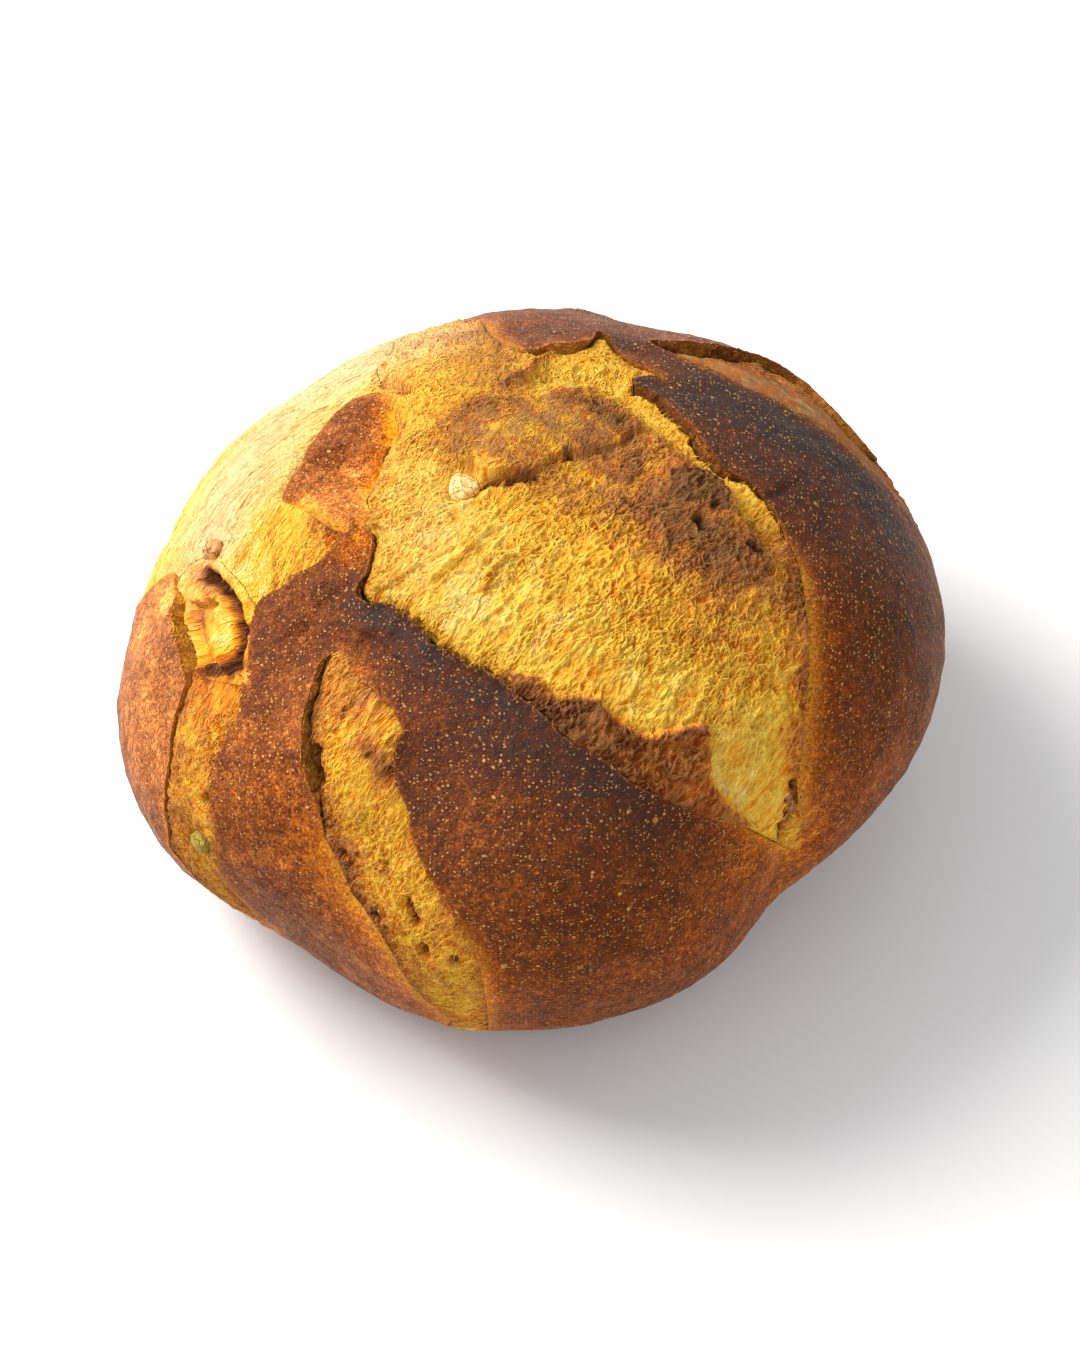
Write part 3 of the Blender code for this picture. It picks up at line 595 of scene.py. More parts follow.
CRUMB_TOAST_AND_SHADE = (
    ([(590, 410), (640, 440), (690, 475)], 0.26, 0.0070),
    ([(480, 404), (520, 412), (548, 432)], 0.20, 0.0022),
    ([(560, 404), (600, 420), (640, 452)], 0.22, 0.0026),
    ([(500, 450), (530, 446), (556, 458)], 0.12, 0.0022),
    ([(540, 480), (600, 500), (670, 530), (735, 560)], 0.24, 0.0120),
    ([(735, 610), (700, 560)], 0.22, 0.0180),
    ([(660, 500), (700, 505), (745, 560)], 0.22, 0.0080),
    ([(620, 500), (680, 520), (720, 545)], 0.10, 0.0060),
    ([(690, 790), (745, 824)], -0.20, 0.0050),
    ([(545, 712), (600, 738)], 0.20, 0.0060),
    ([(597, 703), (628, 731), (674, 729), (703, 726)], 0.16, 0.0016),
    ([(350, 700)], 0.12, 0.0110),
    ([(355, 720), (352, 690), (340, 665)], 0.06, 0.0050),
    ([(272, 545), (284, 585)], 0.14, 0.0110),
    ([(420, 352), (360, 372), (318, 398)], 0.16, 0.0018),
    ([(262, 505), (255, 560), (250, 600)], 0.12, 0.0013),
    ([(300, 395), (262, 440), (238, 490)], 0.08, 0.0022),
    ([(560, 374), (612, 380)], -0.10, 0.0050),
    ([(640, 680), (740, 780)], -0.06, 0.0180),
    ([(440, 530), (470, 620)], -0.12, 0.0160),
    ([(640, 640), (560, 650)], 0.02, 0.0200),
    ([(480, 340), (500, 395), (470, 420)], 0.22, 0.0110),
    ([(432, 580), (442, 571), (460, 559), (474, 550)], 0.26, 0.0011),
    ([(484, 588), (492, 576), (502, 565), (509, 557)], 0.28, 0.0011),
    ([(503, 386), (518, 374), (534, 362), (556, 352)], 0.34, 0.0011),
    # painted shade: dark spots in the pores and holes, where shade falls deep into the crumb
    ([(566, 452)], 1.0, 0.0009),
    ([(666, 506)], 0.9, 0.0007),
    ([(697, 519), (704, 530)], 1.0, 0.0011),
    ([(710, 509)], 0.9, 0.0008),
    ([(748, 550), (757, 558)], 0.9, 0.0010),
    ([(752, 528), (763, 573)], 0.20, 0.0014),
    ([(671, 542)], 0.8, 0.0007),
    ([(376, 915)], 0.8, 0.0008),
    ([(455, 962)], 0.7, 0.0009),
    ([(203, 797)], 0.6, 0.0010),
    ([(330, 380), (300, 420), (260, 470)], 0.14, 0.0040),
    ([(400, 352), (450, 340)], 0.16, 0.0050),
    ([(440, 440), (452, 470)], 0.10, 0.0060),
    ([(760, 380), (800, 405), (860, 455)], 0.10, 0.0120),
    ([(312, 700), (320, 790), (350, 880), (380, 940)], 0.22, 0.0036),
    ([(785, 540), (800, 600), (803, 660), (800, 760)], 0.20, 0.0050),
    # painted shadow under the ridge's overhang, then painted shade down the crack on the left
    ([(484, 482), (510, 479), (534, 475)], 0.95, 0.0016),
    ([(201, 573), (213, 582), (226, 597), (235, 613), (239, 632), (237, 650), (233, 668)], 1.00, 0.0018),
    ([(198, 632), (214, 640), (222, 612)], -0.18, 0.0070),
    ([(190, 616), (204, 626), (206, 650)], 0.14, 0.0014),
    ([(182, 612), (186, 640), (192, 664)], 0.40, 0.0016),
    ([(220, 604), (227, 618), (227, 634), (230, 650)], -0.12, 0.0012),
    ([(210, 640), (218, 654)], -0.20, 0.0030),
    ([(168, 560), (190, 560), (205, 585)], 0.24, 0.0040),
    ([(205, 672), (236, 674)], 0.14, 0.0040),
    # painted shade in the crease along the island of crust
    ([(352, 398), (333, 418), (316, 438), (298, 464), (280, 494)], 0.34, 0.0010),
    ([(268, 520), (272, 570), (270, 600)], 0.26, 0.0011),
    # painted shade in the slit round the seed
    ([(787, 832), (792, 808), (797, 785)], 0.60, 0.0012),
    ([(300, 540), (345, 528)], 0.22, 0.0060),
    # painted shade in the hole under the flap
    ([(380, 380), (404, 388)], 0.60, 0.0020),
    ([(512, 392), (470, 400), (440, 440)], 0.10, 0.0060),
    ([(368, 752), (380, 768), (392, 775)], 0.40, 0.0024),
    ([(204, 660), (236, 668)], 0.22, 0.0040),
    ([(385, 345), (470, 325)], 0.16, 0.0080),
    # painted shade in the pits and holes of the front strip
    ([(312, 752), (311, 768), (314, 780)], 0.50, 0.0014),
    ([(408, 905), (411, 915), (416, 925)], 0.40, 0.0012),
    ([(421, 947), (423, 956)], 0.40, 0.0010),
)
TOAST_PATCHES = (
    (TERRACE, 0.60, 0.0030),
    (RIDGE, 0.16, 0.0070),
    (DARK_CREST, 0.32, 0.0030),
    (DARK_EDGE, 0.40, 0.0026),
)
# Painted highlight: on the upper left, where the window light falls strongest, raised crumb is painted pale; the
# crumb there is also paler of itself.
CREAM_HIGHLIGHT = (  # where the crumb is palest
    ([(205, 540), (228, 490), (262, 440), (300, 400), (350, 362)], 1.0, 0.0200),
    ([(395, 350), (440, 338)], 1.0, 0.0150),
    ([(400, 470), (410, 540)], 0.18, 0.0160),
    ([(272, 540), (284, 590)], -0.8, 0.0100),
)
TEAR_TOAST = {"crown": 0.24, "left": 0.54, "front": 0.40, "right": 0.60, "back": 0.45, "back_left": 0.40}
LOW_GOLD = (0.034, 0.014)  # below this height the crust is paler, over this much
LIP_WIDTH = 0.006
CRUMB_SUNK = 0.0008
EDGE_SUNK = 0.0024
EDGE_WIDTH = 0.003
FULL_LIP = 0.0022
SOFT_LIP = 0.0008  # below this lip, crust and crumb fade into each other
SOFT_RISE = 0.0007  # and the crumb comes up to meet the crust
CURL = 0.2  # how much of a lip's height its curled edge adds
CURL_WIDTH = 0.0014


def shaken(points):
    """The points pushed about by noise, for measuring marks from."""
    push = np.zeros_like(points)
    for waves, reach in SHAKEN:
        push += reach * np.array([noise.noise_vector(Vector(point) * waves) for point in points.tolist()])
    return points + push


def patched(points, patches):
    """What patches add at these points."""
    total = np.zeros(len(points))
    spread = flat_map(points)
    for pixels, amount, width in patches:
        away = from_line(points, pixels + pixels[:1])
        away = np.where(inside(spread, flat_map(seen(pixels))), away, -away)
        share = np.clip(0.5 + away / width, 0, 1)
        total += amount * share * share * (3 - 2 * share)
    return total


def crust_level(points, distance, lips):
    """How far the crust stands out from the form."""
    level = lips * (np.exp(-distance / LIP_WIDTH) + CURL * np.exp(-distance / CURL_WIDTH))
    return level + drawn(points, CRUST_RELIEF)


def crumb_level(points, distance, lips):
    """How far the crumb stands out from the form: a little sunk, and more so along a sharp tear."""
    sharp = np.clip(lips / FULL_LIP, 0, 1)
    level = CRUMB_SUNK * (0.10 - sharp) - EDGE_SUNK * sharp * np.exp(-distance / EDGE_WIDTH)
    level += SOFT_RISE * np.clip(1 - lips / SOFT_LIP, 0, 1) * np.exp(-distance / 0.003)
    return level + drawn(points, CRUMB_RELIEF) + patched(points, CRUMB_PATCHES)


# %% [markdown]
# ## One skin for every piece
# A ball with poles has thin slivers at its top and bottom. A cube whose sides are grids, blown up to a
# ball, has cells of nearly one size instead. They are crowded a little towards the front and top, where
# the loaf is looked at most.

# %% A gridded cube blown up to a ball
CROWDING = 0.30


def gridded_cube(cells):
    """Corners from -1 to 1 and four-cornered faces of a cube with a grid on each side, facing out."""
    line = np.linspace(-1, 1, cells + 1)
    first, second = (grid.ravel() for grid in np.meshgrid(line, line, indexing="ij"))
    number = np.arange(first.size).reshape(cells + 1, cells + 1)
    quads = np.stack([number[:-1, :-1], number[1:, :-1], number[1:, 1:], number[:-1, 1:]], axis=-1)
    quads = quads.reshape(-1, 4)
    corners, faces = [], []
    for axis in range(3):
        for side in (-1, 1):
            sheet = np.empty((first.size, 3))
            sheet[:, axis] = side
            sheet[:, (axis + 1) % 3] = first
            sheet[:, (axis + 2) % 3] = second
            faces.append((quads if side > 0 else quads[:, ::-1]) + len(corners) * first.size)
            corners.append(sheet)
    corners, faces = np.concatenate(corners), np.concatenate(faces)
    steps = np.rint((corners + 1) * cells / 2).astype(np.int64)
    keys = (steps[:, 0] * (cells + 1) + steps[:, 1]) * (cells + 1) + steps[:, 2]
    _, kept, same = np.unique(keys, return_index=True, return_inverse=True)
    return corners[kept], same[faces]


def skin_directions(corners):
    """Directions for the cube's corners, even over the ball and then crowded towards the viewer."""
    spread = np.tan(corners * math.pi / 4)
    directions = spread / np.linalg.norm(spread, axis=1, keepdims=True)
    along = np.clip(directions @ TOWARDS, -1, 1)
    sideways = directions - along[:, None] * TOWARDS
    sideways /= np.maximum(np.linalg.norm(sideways, axis=1, keepdims=True), 1e-9)
    angle = np.arccos(along)
    angle -= CROWDING * np.sin(angle)
    return np.cos(angle)[:, None] * TOWARDS + np.sin(angle)[:, None] * sideways


def new_piece(name, points, faces):
    """An object from points and faces, shaded smooth."""
    data = bpy.data.meshes.new(name)
    data.from_pydata(points, [], faces)
    data.shade_smooth()
    made = bpy.data.objects.new(name, data)
    scene.collection.objects.link(made)
    return made


def store(made, name, values):
    """Keeps one number, or one vector, for each point of a piece."""
    kind, field = ("FLOAT_VECTOR", "vector") if values.ndim == 2 else ("FLOAT", "value")
    made.data.attributes.new(name, kind, "POINT").data.foreach_set(field, values.astype(np.float32).ravel())


# %% [markdown]
# ## The crust
# The crust is a thin skin with torn edges. The gridded skin is cut along the tears: wherever one of its
# sides crosses an outline, the nearer end is moved onto it, and all that then lies within a tear is left
# out. From the torn edge a wall goes down, thin and broken like the edge of a real crust, and runs on to
# the heart, so that no gap can show between crust and crumb.

# %% Cut the skin along the tears
CRUST_CELLS = 156
BASE_FADE = 0.006
WALL_DEPTHS = (0.0007, 0.0018, 0.0042, 0.0100)  # rings down the torn wall
WALL_UNDERCUT = (0.00015, 0.0007, 0.0013, 0.0016)
WALL_RAGGED = (0.00025, 0.0007, 0.0009, 0.0004)


def cut_skin():
    """The skin's points and faces outside the tears, with a clean rim of points on the outlines."""
    corners, faces = gridded_cube(CRUST_CELLS)
    smooth = on_form(skin_directions(corners))
    torn = np.zeros(len(smooth), bool)
    for name in LOOPS:
        torn |= in_tear(smooth, name)
    distance, closest = nearest(smooth, EDGES)
    sides = np.concatenate([faces[:, [n, (n + 1) % 4]] for n in range(4)])
    crossed = sides[torn[sides[:, 0]] != torn[sides[:, 1]]]
    nearer = np.where(distance[crossed[:, 0]] < distance[crossed[:, 1]], crossed[:, 0], crossed[:, 1])
    rim = np.zeros(len(smooth), bool)
    rim[nearer] = True
    smooth[rim] = EDGES[closest[rim]]
    within = torn & ~rim
    held = faces[~within[faces].any(axis=1) & (torn[faces].sum(axis=1) <= 2)].tolist()
    for face in faces[within[faces].sum(axis=1) == 1]:
        first = int(np.flatnonzero(within[face])[0])
        _, after, far, before = np.roll(face, -first)
        if rim[after] and rim[before] and not torn[far]:
            held.append((after, far, before))
    used = np.unique(np.concatenate([np.ravel(face) for face in held]))
    number = np.full(len(smooth), -1)
    number[used] = np.arange(len(used))
    faces = [tuple(number[list(face)].tolist()) for face in held]
    distance, closest = nearest(smooth[used], EDGES)
    return smooth[used], faces, np.where(rim[used], 0, distance), LIPS[closest]


def rim_sides(faces):
    """The sides that only one face has, in that face's sense."""
    seen_sides = {}
    for face in faces:
        for start, end in zip(face, (*face[1:], face[0])):
            seen_sides[start, end] = (end, start) not in seen_sides
            if not seen_sides[start, end]:
                seen_sides[end, start] = False
    return [side for side, single in seen_sides.items() if single]


def torn_walls(points, faces, sides):
    """Walls from the torn edge down to the heart.

    Returns all points, all faces, how deep each point lies, and the number of the rim point above it.
    """
    rim = sorted({point for side in sides for point in side})
    row = {point: number for number, point in enumerate(rim)}
    top = points[rim]
    away = outward(top)
    out = np.zeros_like(top)
    for start, end in sides:
        out[row[start]] += np.cross(points[end] - points[start], away[row[start]])
        out[row[end]] += np.cross(points[end] - points[start], away[row[end]])
    out /= np.maximum(np.linalg.norm(out, axis=1, keepdims=True), 1e-9)
    rings, depths = [], []
    for depth, undercut, ragged in zip(WALL_DEPTHS, WALL_UNDERCUT, WALL_RAGGED):
        rough = np.array([noise.noise(Vector(point) * 420 + Vector((depth * 900, 0, 0))) for point in top])
        rings.append(top - depth * away + (ragged * 1.6 * rough - undercut)[:, None] * out)
        depths.append(np.full(len(top), depth))
    walls, above = [], rim
    for ring in range(len(WALL_DEPTHS)):
        below = [len(points) + ring * len(rim) + number for number in range(len(rim))]
        walls += [(above[row[end]], above[row[start]], below[row[start]], below[row[end]])
                  for start, end in sides]
        above = below
    heart = len(points) + len(WALL_DEPTHS) * len(rim)
    walls += [(above[row[end]], above[row[start]], heart) for start, end in sides]
    above = np.concatenate([np.arange(len(points)), np.tile(rim, len(rings)), rim[:1]])
    depths = np.concatenate([np.zeros(len(points)), *depths, [HEART[2]]])
    return np.concatenate([points, *rings, HEART[None]]), faces + walls, depths, above


def sharpen(made, sides):
    """Marks these sides of the mesh as sharp, so that shading breaks there."""
    edges = np.empty((len(made.data.edges), 2), int)
    made.data.edges.foreach_get("vertices", edges.ravel())
    edges.sort(axis=1)
    pairs = np.sort(np.array(sides), axis=1)
    count = len(made.data.vertices)
    found = np.isin(edges[:, 0] * count + edges[:, 1], pairs[:, 0] * count + pairs[:, 1])
    made.data.attributes.new("sharp_edge", "BOOLEAN", "EDGE").data.foreach_set("value", found)


def make_crust():
    smooth, faces, distance, lips = cut_skin()
    measured = shaken(smooth)
    level = crust_level(measured, distance, lips) * np.clip(smooth[:, 2] / BASE_FADE, 0, 1)
    points = smooth + level[:, None] * outward(smooth)
    points[:, 2] = np.where(smooth[:, 2] < 1e-5, 0, np.maximum(points[:, 2], 0))
    sides = rim_sides(faces)
    points, faces, depths, above = torn_walls(points, faces, sides)
    made = new_piece("crust", points, faces)
    sharpen(made, sides)
    soft = np.clip(1 - lips / SOFT_LIP, 0, 1) * np.exp(-distance / 0.0045)
    low = np.clip((LOW_GOLD[0] - smooth[:, 2]) / LOW_GOLD[1], 0, 1)
    bake = 0.52 + drawn(measured, CRUST_BAKE) - 0.36 * soft - 0.06 * low
    gold = drawn(measured, CRUST_GOLD) + 0.8 * soft + 0.5 * low
    lip = np.clip(lips / FULL_LIP, 0, 1) * np.exp(-distance / 0.0016)
    store(made, "bake", np.clip(bake, 0, 1)[above])
    store(made, "gold", np.clip(gold, 0, 1)[above])
    store(made, "soft", soft[above])
    store(made, "edge", distance[above])
    store(made, "torn", np.clip(depths / 0.0014, 0, 1))
    store(made, "toast", np.clip(0.35 + bake * 0.6, 0, 1)[above])
    store(made, "lip", lip[above] * (depths < 0.003))
    return made


crust = make_crust()
print("crust:", len(crust.data.vertices), "points")

# %% [markdown]
# ## Writing node trees as sums
# Materials and Geometry Nodes are both trees of nodes. Wrapping an output in a small class lets the maths
# be written as a Python expression, which adds its Math nodes as it is worked out. Every other node comes
# from one method: its type, its settings, and then the values or links of its sockets.

# %% A wire that knows arithmetic


def set_stops(ramp, stops):
    """Fills a colour ramp with (place, colour) stops, in rising order."""
    for number, (place, colour) in enumerate(stops):
        stop = ramp.elements[number] if number < 2 else ramp.elements.new(place)
        stop.position = place
        stop.color = (*colour, 1)


class Wire:
    """A node's output in a tree, or just the tree where there is no output yet."""

    def __init__(self, tree, socket=None):
        self.tree = tree
        self.socket = socket

    def node(self, kind, settings=None, sockets=None, out=0):
        made = self.tree.nodes.new(kind)
        for name, value in (settings or {}).items():
            if name == "stops":
                set_stops(made.color_ramp, value)
            else:
                setattr(made, name, value)
        for place, value in (sockets or {}).items():
            if isinstance(value, Wire):
                self.tree.links.new(value.socket, made.inputs[place])
            else:
                made.inputs[place].default_value = value
        return Wire(self.tree, made.outputs[out])

    def other(self, out):
        """Another output of the same node."""
        return Wire(self.tree, self.socket.node.outputs[out])

    def math(self, operation, first, second=0.0, clamp=False):
        settings = {"operation": operation, "use_clamp": clamp}
        return self.node("ShaderNodeMath", settings, {0: first, 1: second})

    def vector(self, operation, other=None, out=0):
        sockets = {0: self} if other is None else {0: self, 1: other}
        return self.node("ShaderNodeVectorMath", {"operation": operation}, sockets, out)

    def scaled(self, amount):
        return self.node("ShaderNodeVectorMath", {"operation": "SCALE"}, {0: self, "Scale": amount})

    def held(self):
        """The value kept between 0 and 1."""
        return self.math("ADD", self, 0.0, clamp=True)

    def size(self):
        return self.math("ABSOLUTE", self)

    def between(self, low, high):
        """0 up to low, 1 from high on, and a smooth rise between them."""
        sockets = {"Value": self, "From Min": low, "From Max": high}
        return self.node("ShaderNodeMapRange", {"interpolation_type": "SMOOTHSTEP"}, sockets)

    def __add__(self, other):
        return self.math("ADD", self, other)

    def __radd__(self, other):
        return self.math("ADD", other, self)

    def __sub__(self, other):
        return self.math("SUBTRACT", self, other)

    def __rsub__(self, other):
        return self.math("SUBTRACT", other, self)

    def __mul__(self, other):
        return self.math("MULTIPLY", self, other)

    def __rmul__(self, other):
        return self.math("MULTIPLY", other, self)

    def __truediv__(self, other):
        return self.math("DIVIDE", self, other)

    def __pow__(self, other):
        return self.math("POWER", self, other)


def paint(red, green, blue):
    """A colour from 0 to 255 a channel, as nodes want it."""
    levels = np.array([red, green, blue]) / 255
    return tuple(np.where(levels < 0.04045, levels / 12.92, ((levels + 0.055) / 1.055) ** 2.4).tolist())


def mixed(share, first, second, blend="MIX"):
    """Two colours mixed: each is a wire or a colour."""
    first, second = (value if isinstance(value, Wire) else (*value, 1) for value in (first, second))
    settings = {"data_type": "RGBA", "blend_type": blend}
    return share.node("ShaderNodeMix", settings, {0: share, 6: first, 7: second}, 2)


def tinted(share, colour, tint):
    """A colour wire multiplied by a tint, by this share."""
    return mixed(share, colour, tint, "MULTIPLY")


def clouds(place, waves, detail=2.0, roughness=0.5, out="Fac"):
    """Soft noise, with this many waves a metre."""
    sockets = {"Vector": place, "Scale": waves, "Detail": detail, "Roughness": roughness}
    return place.node("ShaderNodeTexNoise", {}, sockets, out)


def warped(place, waves, reach):
    """Places pushed about by noise, at most this far."""
    push = clouds(place, waves, 2.0, out="Color").vector("SUBTRACT", (0.5, 0.5, 0.5))
    return place.vector("ADD", push.scaled(reach * 2))


def web(place, waves, wall, bend=0.8):
    """The thin walls between bubbles: 1 on a wall, 0 within a bubble."""
    sockets = {"Vector": warped(place, waves * 0.9, bend / waves), "Scale": waves, "Randomness": 1.0}
    edge = place.node("ShaderNodeTexVoronoi", {"feature": "DISTANCE_TO_EDGE"}, sockets, "Distance")
    return 1 - edge.between(0.0, wall)


# %% [markdown]
# ## The finish of the crust
# Sugar and starch brown on the skin: tan where the dough stretched late, chestnut over most of it, and a
# purplish near-black on the shoulders that stood nearest the heat. Lower down the brown is golden. Tiny
# bubbles under the skin show as pale specks, thousands of them, in a few sizes.

# %% Crust material
CRUST_TONES = (
    (0.00, paint(240, 186, 84)), (0.10, paint(216, 142, 68)), (0.24, paint(180, 102, 44)),
    (0.42, paint(130, 68, 26)), (0.60, paint(96, 47, 22)), (0.80, paint(72, 40, 30)),
    (1.00, paint(52, 44, 42)),
)
WALL_TONE = paint(224, 158, 52)
# painted shade: the dark tone of torn walls also stands for the shade down in the folds
BAKED_AND_SHADED_WALL_TONE = paint(104, 56, 22)
RIM_TONE = paint(196, 116, 36)
SOFT_TONE = paint(206, 138, 36)
DARK_SOFT_TONE = paint(150, 86, 20)
SPECK_TONE = paint(238, 172, 98)
GOLD_TINT = paint(250, 222, 30)


def new_material(name, metallic=0.0):
    """A material, the start of its tree and its shader."""
    made = bpy.data.materials.new(name)
    made.use_nodes = True
    shader = made.node_tree.nodes["Principled BSDF"]
    shader.inputs["Metallic"].default_value = metallic
    return made, Wire(made.node_tree), shader


def connect(shader, **sockets):
    """Links wires to a shader's sockets, named with _ for a space."""
    for name, wire in sockets.items():
        wire.tree.links.new(wire.socket, shader.inputs[name.replace("_", " ")])


def stored(start, name, out="Fac"):
    return start.node("ShaderNodeAttribute", {"attribute_name": name}, {}, out)


def bumped(height, depth):
    """A normal from a height between 0 and 1 that stands for this many metres."""
    return height.node("ShaderNodeBump", {}, {"Height": height, "Distance": depth}, "Normal")


def specks(place, waves, biggest, fewer):
    """Pale spots: one in each cell of this many a metre, most of them far smaller than the biggest."""
    sockets = {"Vector": place, "Scale": waves, "Randomness": 1.0}
    cells = place.node("ShaderNodeTexVoronoi", {}, sockets, "Distance")
    chance = cells.node("ShaderNodeSeparateColor", {}, {0: cells.other("Color")})
    reach = chance**fewer * biggest
    return 1 - (cells / (reach + 0.001)).between(0.50, 1.0)


def crust_finish():
    made, start, shader = new_material("crust")
    place = start.node("ShaderNodeTexCoord", {}, {}, "Object")
    squat = warped(place, 900.0, 0.0004).vector("MULTIPLY", (1.0, 1.0, 1.6))
    patch = clouds(place, 120.0, 4.0, 0.65)
    mottle = clouds(place, 520.0, 3.0, 0.65)
    grain = clouds(place, 1500.0, 2.0, 0.6)
    bake = stored(start, "bake") + (clouds(place, 24.0, 3.0) - 0.5) * 0.30
    bake = bake + (patch - 0.5) * 0.6 + (mottle - 0.5) * 0.8 + (grain - 0.5) * 0.8
    skin = start.node("ShaderNodeValToRGB", {"stops": CRUST_TONES}, {0: bake}, "Color")
    skin = tinted(stored(start, "gold") * (0.7 + patch * 0.5), skin, GOLD_TINT)
    fine = specks(squat, 1050.0, 0.54, 0.9) * patch.between(0.34, 0.52)
    middling = specks(squat, 480.0, 0.36, 2.2)
    large = specks(squat, 170.0, 0.24, 4.5)
    spotted = (fine * 0.75 + middling * 0.8 + large * 0.5).held()
    skin = mixed(spotted * (0.90 - bake * 0.20), skin, SPECK_TONE)
    soft = (stored(start, "soft") * 1.5 + (mottle - 0.5) * 1.6 + (patch - 0.5)).between(0.45, 1.2)
    skin = mixed(soft * 0.8, skin, mixed(web(place, 700.0, 0.25), DARK_SOFT_TONE, SOFT_TONE))
    rim = (1 - stored(start, "edge").between(0.0001, 0.0008)) * mottle.between(0.40, 0.65)
    skin = mixed(rim * 0.4, skin, RIM_TONE)
    wall = stored(start, "torn")
    # Torn walls go darker with the crust's bake, and that darkening also paints the shade down in the torn folds.
    dark = (stored(start, "bake") * 1.6 - 0.10 + (mottle - 0.5) * 1.4).held()
    skin = mixed(wall, skin, mixed(dark, WALL_TONE, BAKED_AND_SHADED_WALL_TONE))
    height = grain * 0.6 + mottle * 0.8 + spotted * 0.7 + patch * 0.4
    roughness = 0.46 + (patch - 0.5) * 0.3 + spotted * 0.12 + wall * 0.3
    connect(shader, Base_Color=skin, Roughness=roughness, Normal=bumped(height, 0.0010))
    shader.inputs["Specular IOR Level"].default_value = 0.08
    return made


CRUST = crust_finish()
print("crust material:", len(CRUST.node_tree.nodes), "nodes")

# %% [markdown]
# ## The finish of the crumb
# Torn crumb is yellow from the pumpkin, and tan to brown where it stood up and toasted. Light is painted in:
# a cream highlight where the walls of its bubbles catch the light, painted shade of deep gold in the hollows.
# The relief stores how high each point stands, and the material reads that and adds the finest walls.

# %% Crumb material
CRUMB_TONES = (
    (0.00, paint(255, 232, 156)), (0.18, paint(255, 206, 74)), (0.36, paint(248, 174, 30)),
    (0.54, paint(218, 132, 36)), (0.74, paint(156, 84, 30)), (1.00, paint(76, 38, 20)),
)
# painted highlight: the pale tone of raised crumb in the strongest light
CREAM_HIGHLIGHT_TONE = paint(255, 210, 156)
DRY_TONE = paint(134, 92, 54)
PALE_DRY_TONE = paint(178, 138, 90)
# painted shade: the tint that darkens the hollows between bubble walls
HOLLOW_SHADE_TINT = paint(226, 164, 44)
# painted highlights: the pale tones of raised walls, strands and fibres, plain and toasted; the first is also the own
# tone of bare crumb
CREST_HIGHLIGHT_AND_BARE_TONE = paint(255, 220, 92)
TOASTED_CREST_HIGHLIGHT = paint(220, 158, 92)
ORANGE_TINT = paint(255, 196, 120)


def hairs(place, waves, width=7.0):
    """Thin bright lines: crests of 1 that fall to 0 on both sides."""
    return 1 - ((clouds(place, waves, 2.0, 0.6) - 0.5).size() * width).held()


def crumb_finish():
    made, start, shader = new_material("crumb")
    place = start.node("ShaderNodeTexCoord", {}, {}, "Object")
    comb = stored(start, "comb", "Vector")
    hair = stored(start, "hair", "Vector")
    crest = stored(start, "crest")
    # toast holds the crumb's toasting and also painted shade in pores, cracks, slits and under overhangs
    toast = stored(start, "toast")
    rough = (1 - stored(start, "calm")) * (1 - stored(start, "bare") * 0.3)
    dry = stored(start, "dry")
    patch = clouds(place, 70.0, 3.0)
    blotch = clouds(place, 260.0, 3.0, 0.6)
    streak = clouds(comb, 300.0, 3.0, 0.6)
    torn = clouds(comb, 110.0, 2.0).between(0.40, 0.62)
    fine_web = web(comb, 900.0, 0.22) * rough
    strands = hairs(hair, 900.0) * rough
    finest = hairs(hair, 2100.0, 6.0) * rough
    grain = clouds(place, 1800.0, 2.0, 0.6)
    drawn_out = 0.5 + stored(start, "arcs") * 0.5
    tone = toast + (patch - 0.5) * 0.40 + (blotch - 0.5) * 0.50 + (streak - 0.5) * drawn_out + (grain - 0.5) * 0.3
    colour = start.node("ShaderNodeValToRGB", {"stops": CRUMB_TONES}, {0: tone}, "Color")
    raised = (crest * 0.45 + fine_web * (1 - torn) * 0.35 + strands * (0.2 + torn * 0.35) + finest * 0.2).held()
    # Painted shade: the hollows between raised walls and strands are tinted darker gold.
    colour = tinted((1 - raised) * (0.95 - stored(start, "bare") * 0.5), colour, HOLLOW_SHADE_TINT)
    colour = tinted(clouds(comb, 150.0, 2.0).between(0.52, 0.70) * 0.6, colour, ORANGE_TINT)
    # Painted highlight: raised walls, strands and fibres are lightened towards a pale crest tone, less where toasted.
    crest_highlight_tone = mixed(tone.between(0.35, 0.75), CREST_HIGHLIGHT_AND_BARE_TONE, TOASTED_CREST_HIGHLIGHT)
    colour = mixed(raised.between(0.35, 1.0) * (0.62 - toast * 0.30), colour, crest_highlight_tone)
    # Bare crumb that is hardly toasted takes the same pale tone, as its own colour.
    colour = mixed(stored(start, "bare") * (0.3 - toast).held(), colour, CREST_HIGHLIGHT_AND_BARE_TONE)
    # Painted highlight: a pale tone on the raised walls where the light falls strongest.
    cream_highlight = (stored(start, "cream_highlight") * raised.between(0.20, 0.65) * (1 - toast)).held()
    colour = mixed(cream_highlight, colour, CREAM_HIGHLIGHT_TONE)
    tan = mixed((streak + blotch * 0.6).between(0.65, 1.15), DRY_TONE, PALE_DRY_TONE)
    colour = mixed(dry * 0.9, colour, mixed(blotch.between(0.22, 0.60), colour, tan))
    height = fine_web * (1 - torn) * 0.7 + strands * 0.7 + finest * 0.35 + grain * 0.3 + streak * 0.6
    connect(shader, Base_Color=colour, Roughness=0.64 + patch * 0.2, Normal=bumped(height, 0.0008))
    shader.inputs["Specular IOR Level"].default_value = 0.06
    return made


CRUMB = crumb_finish()
print("crumb material:", len(CRUMB.node_tree.nodes), "nodes")

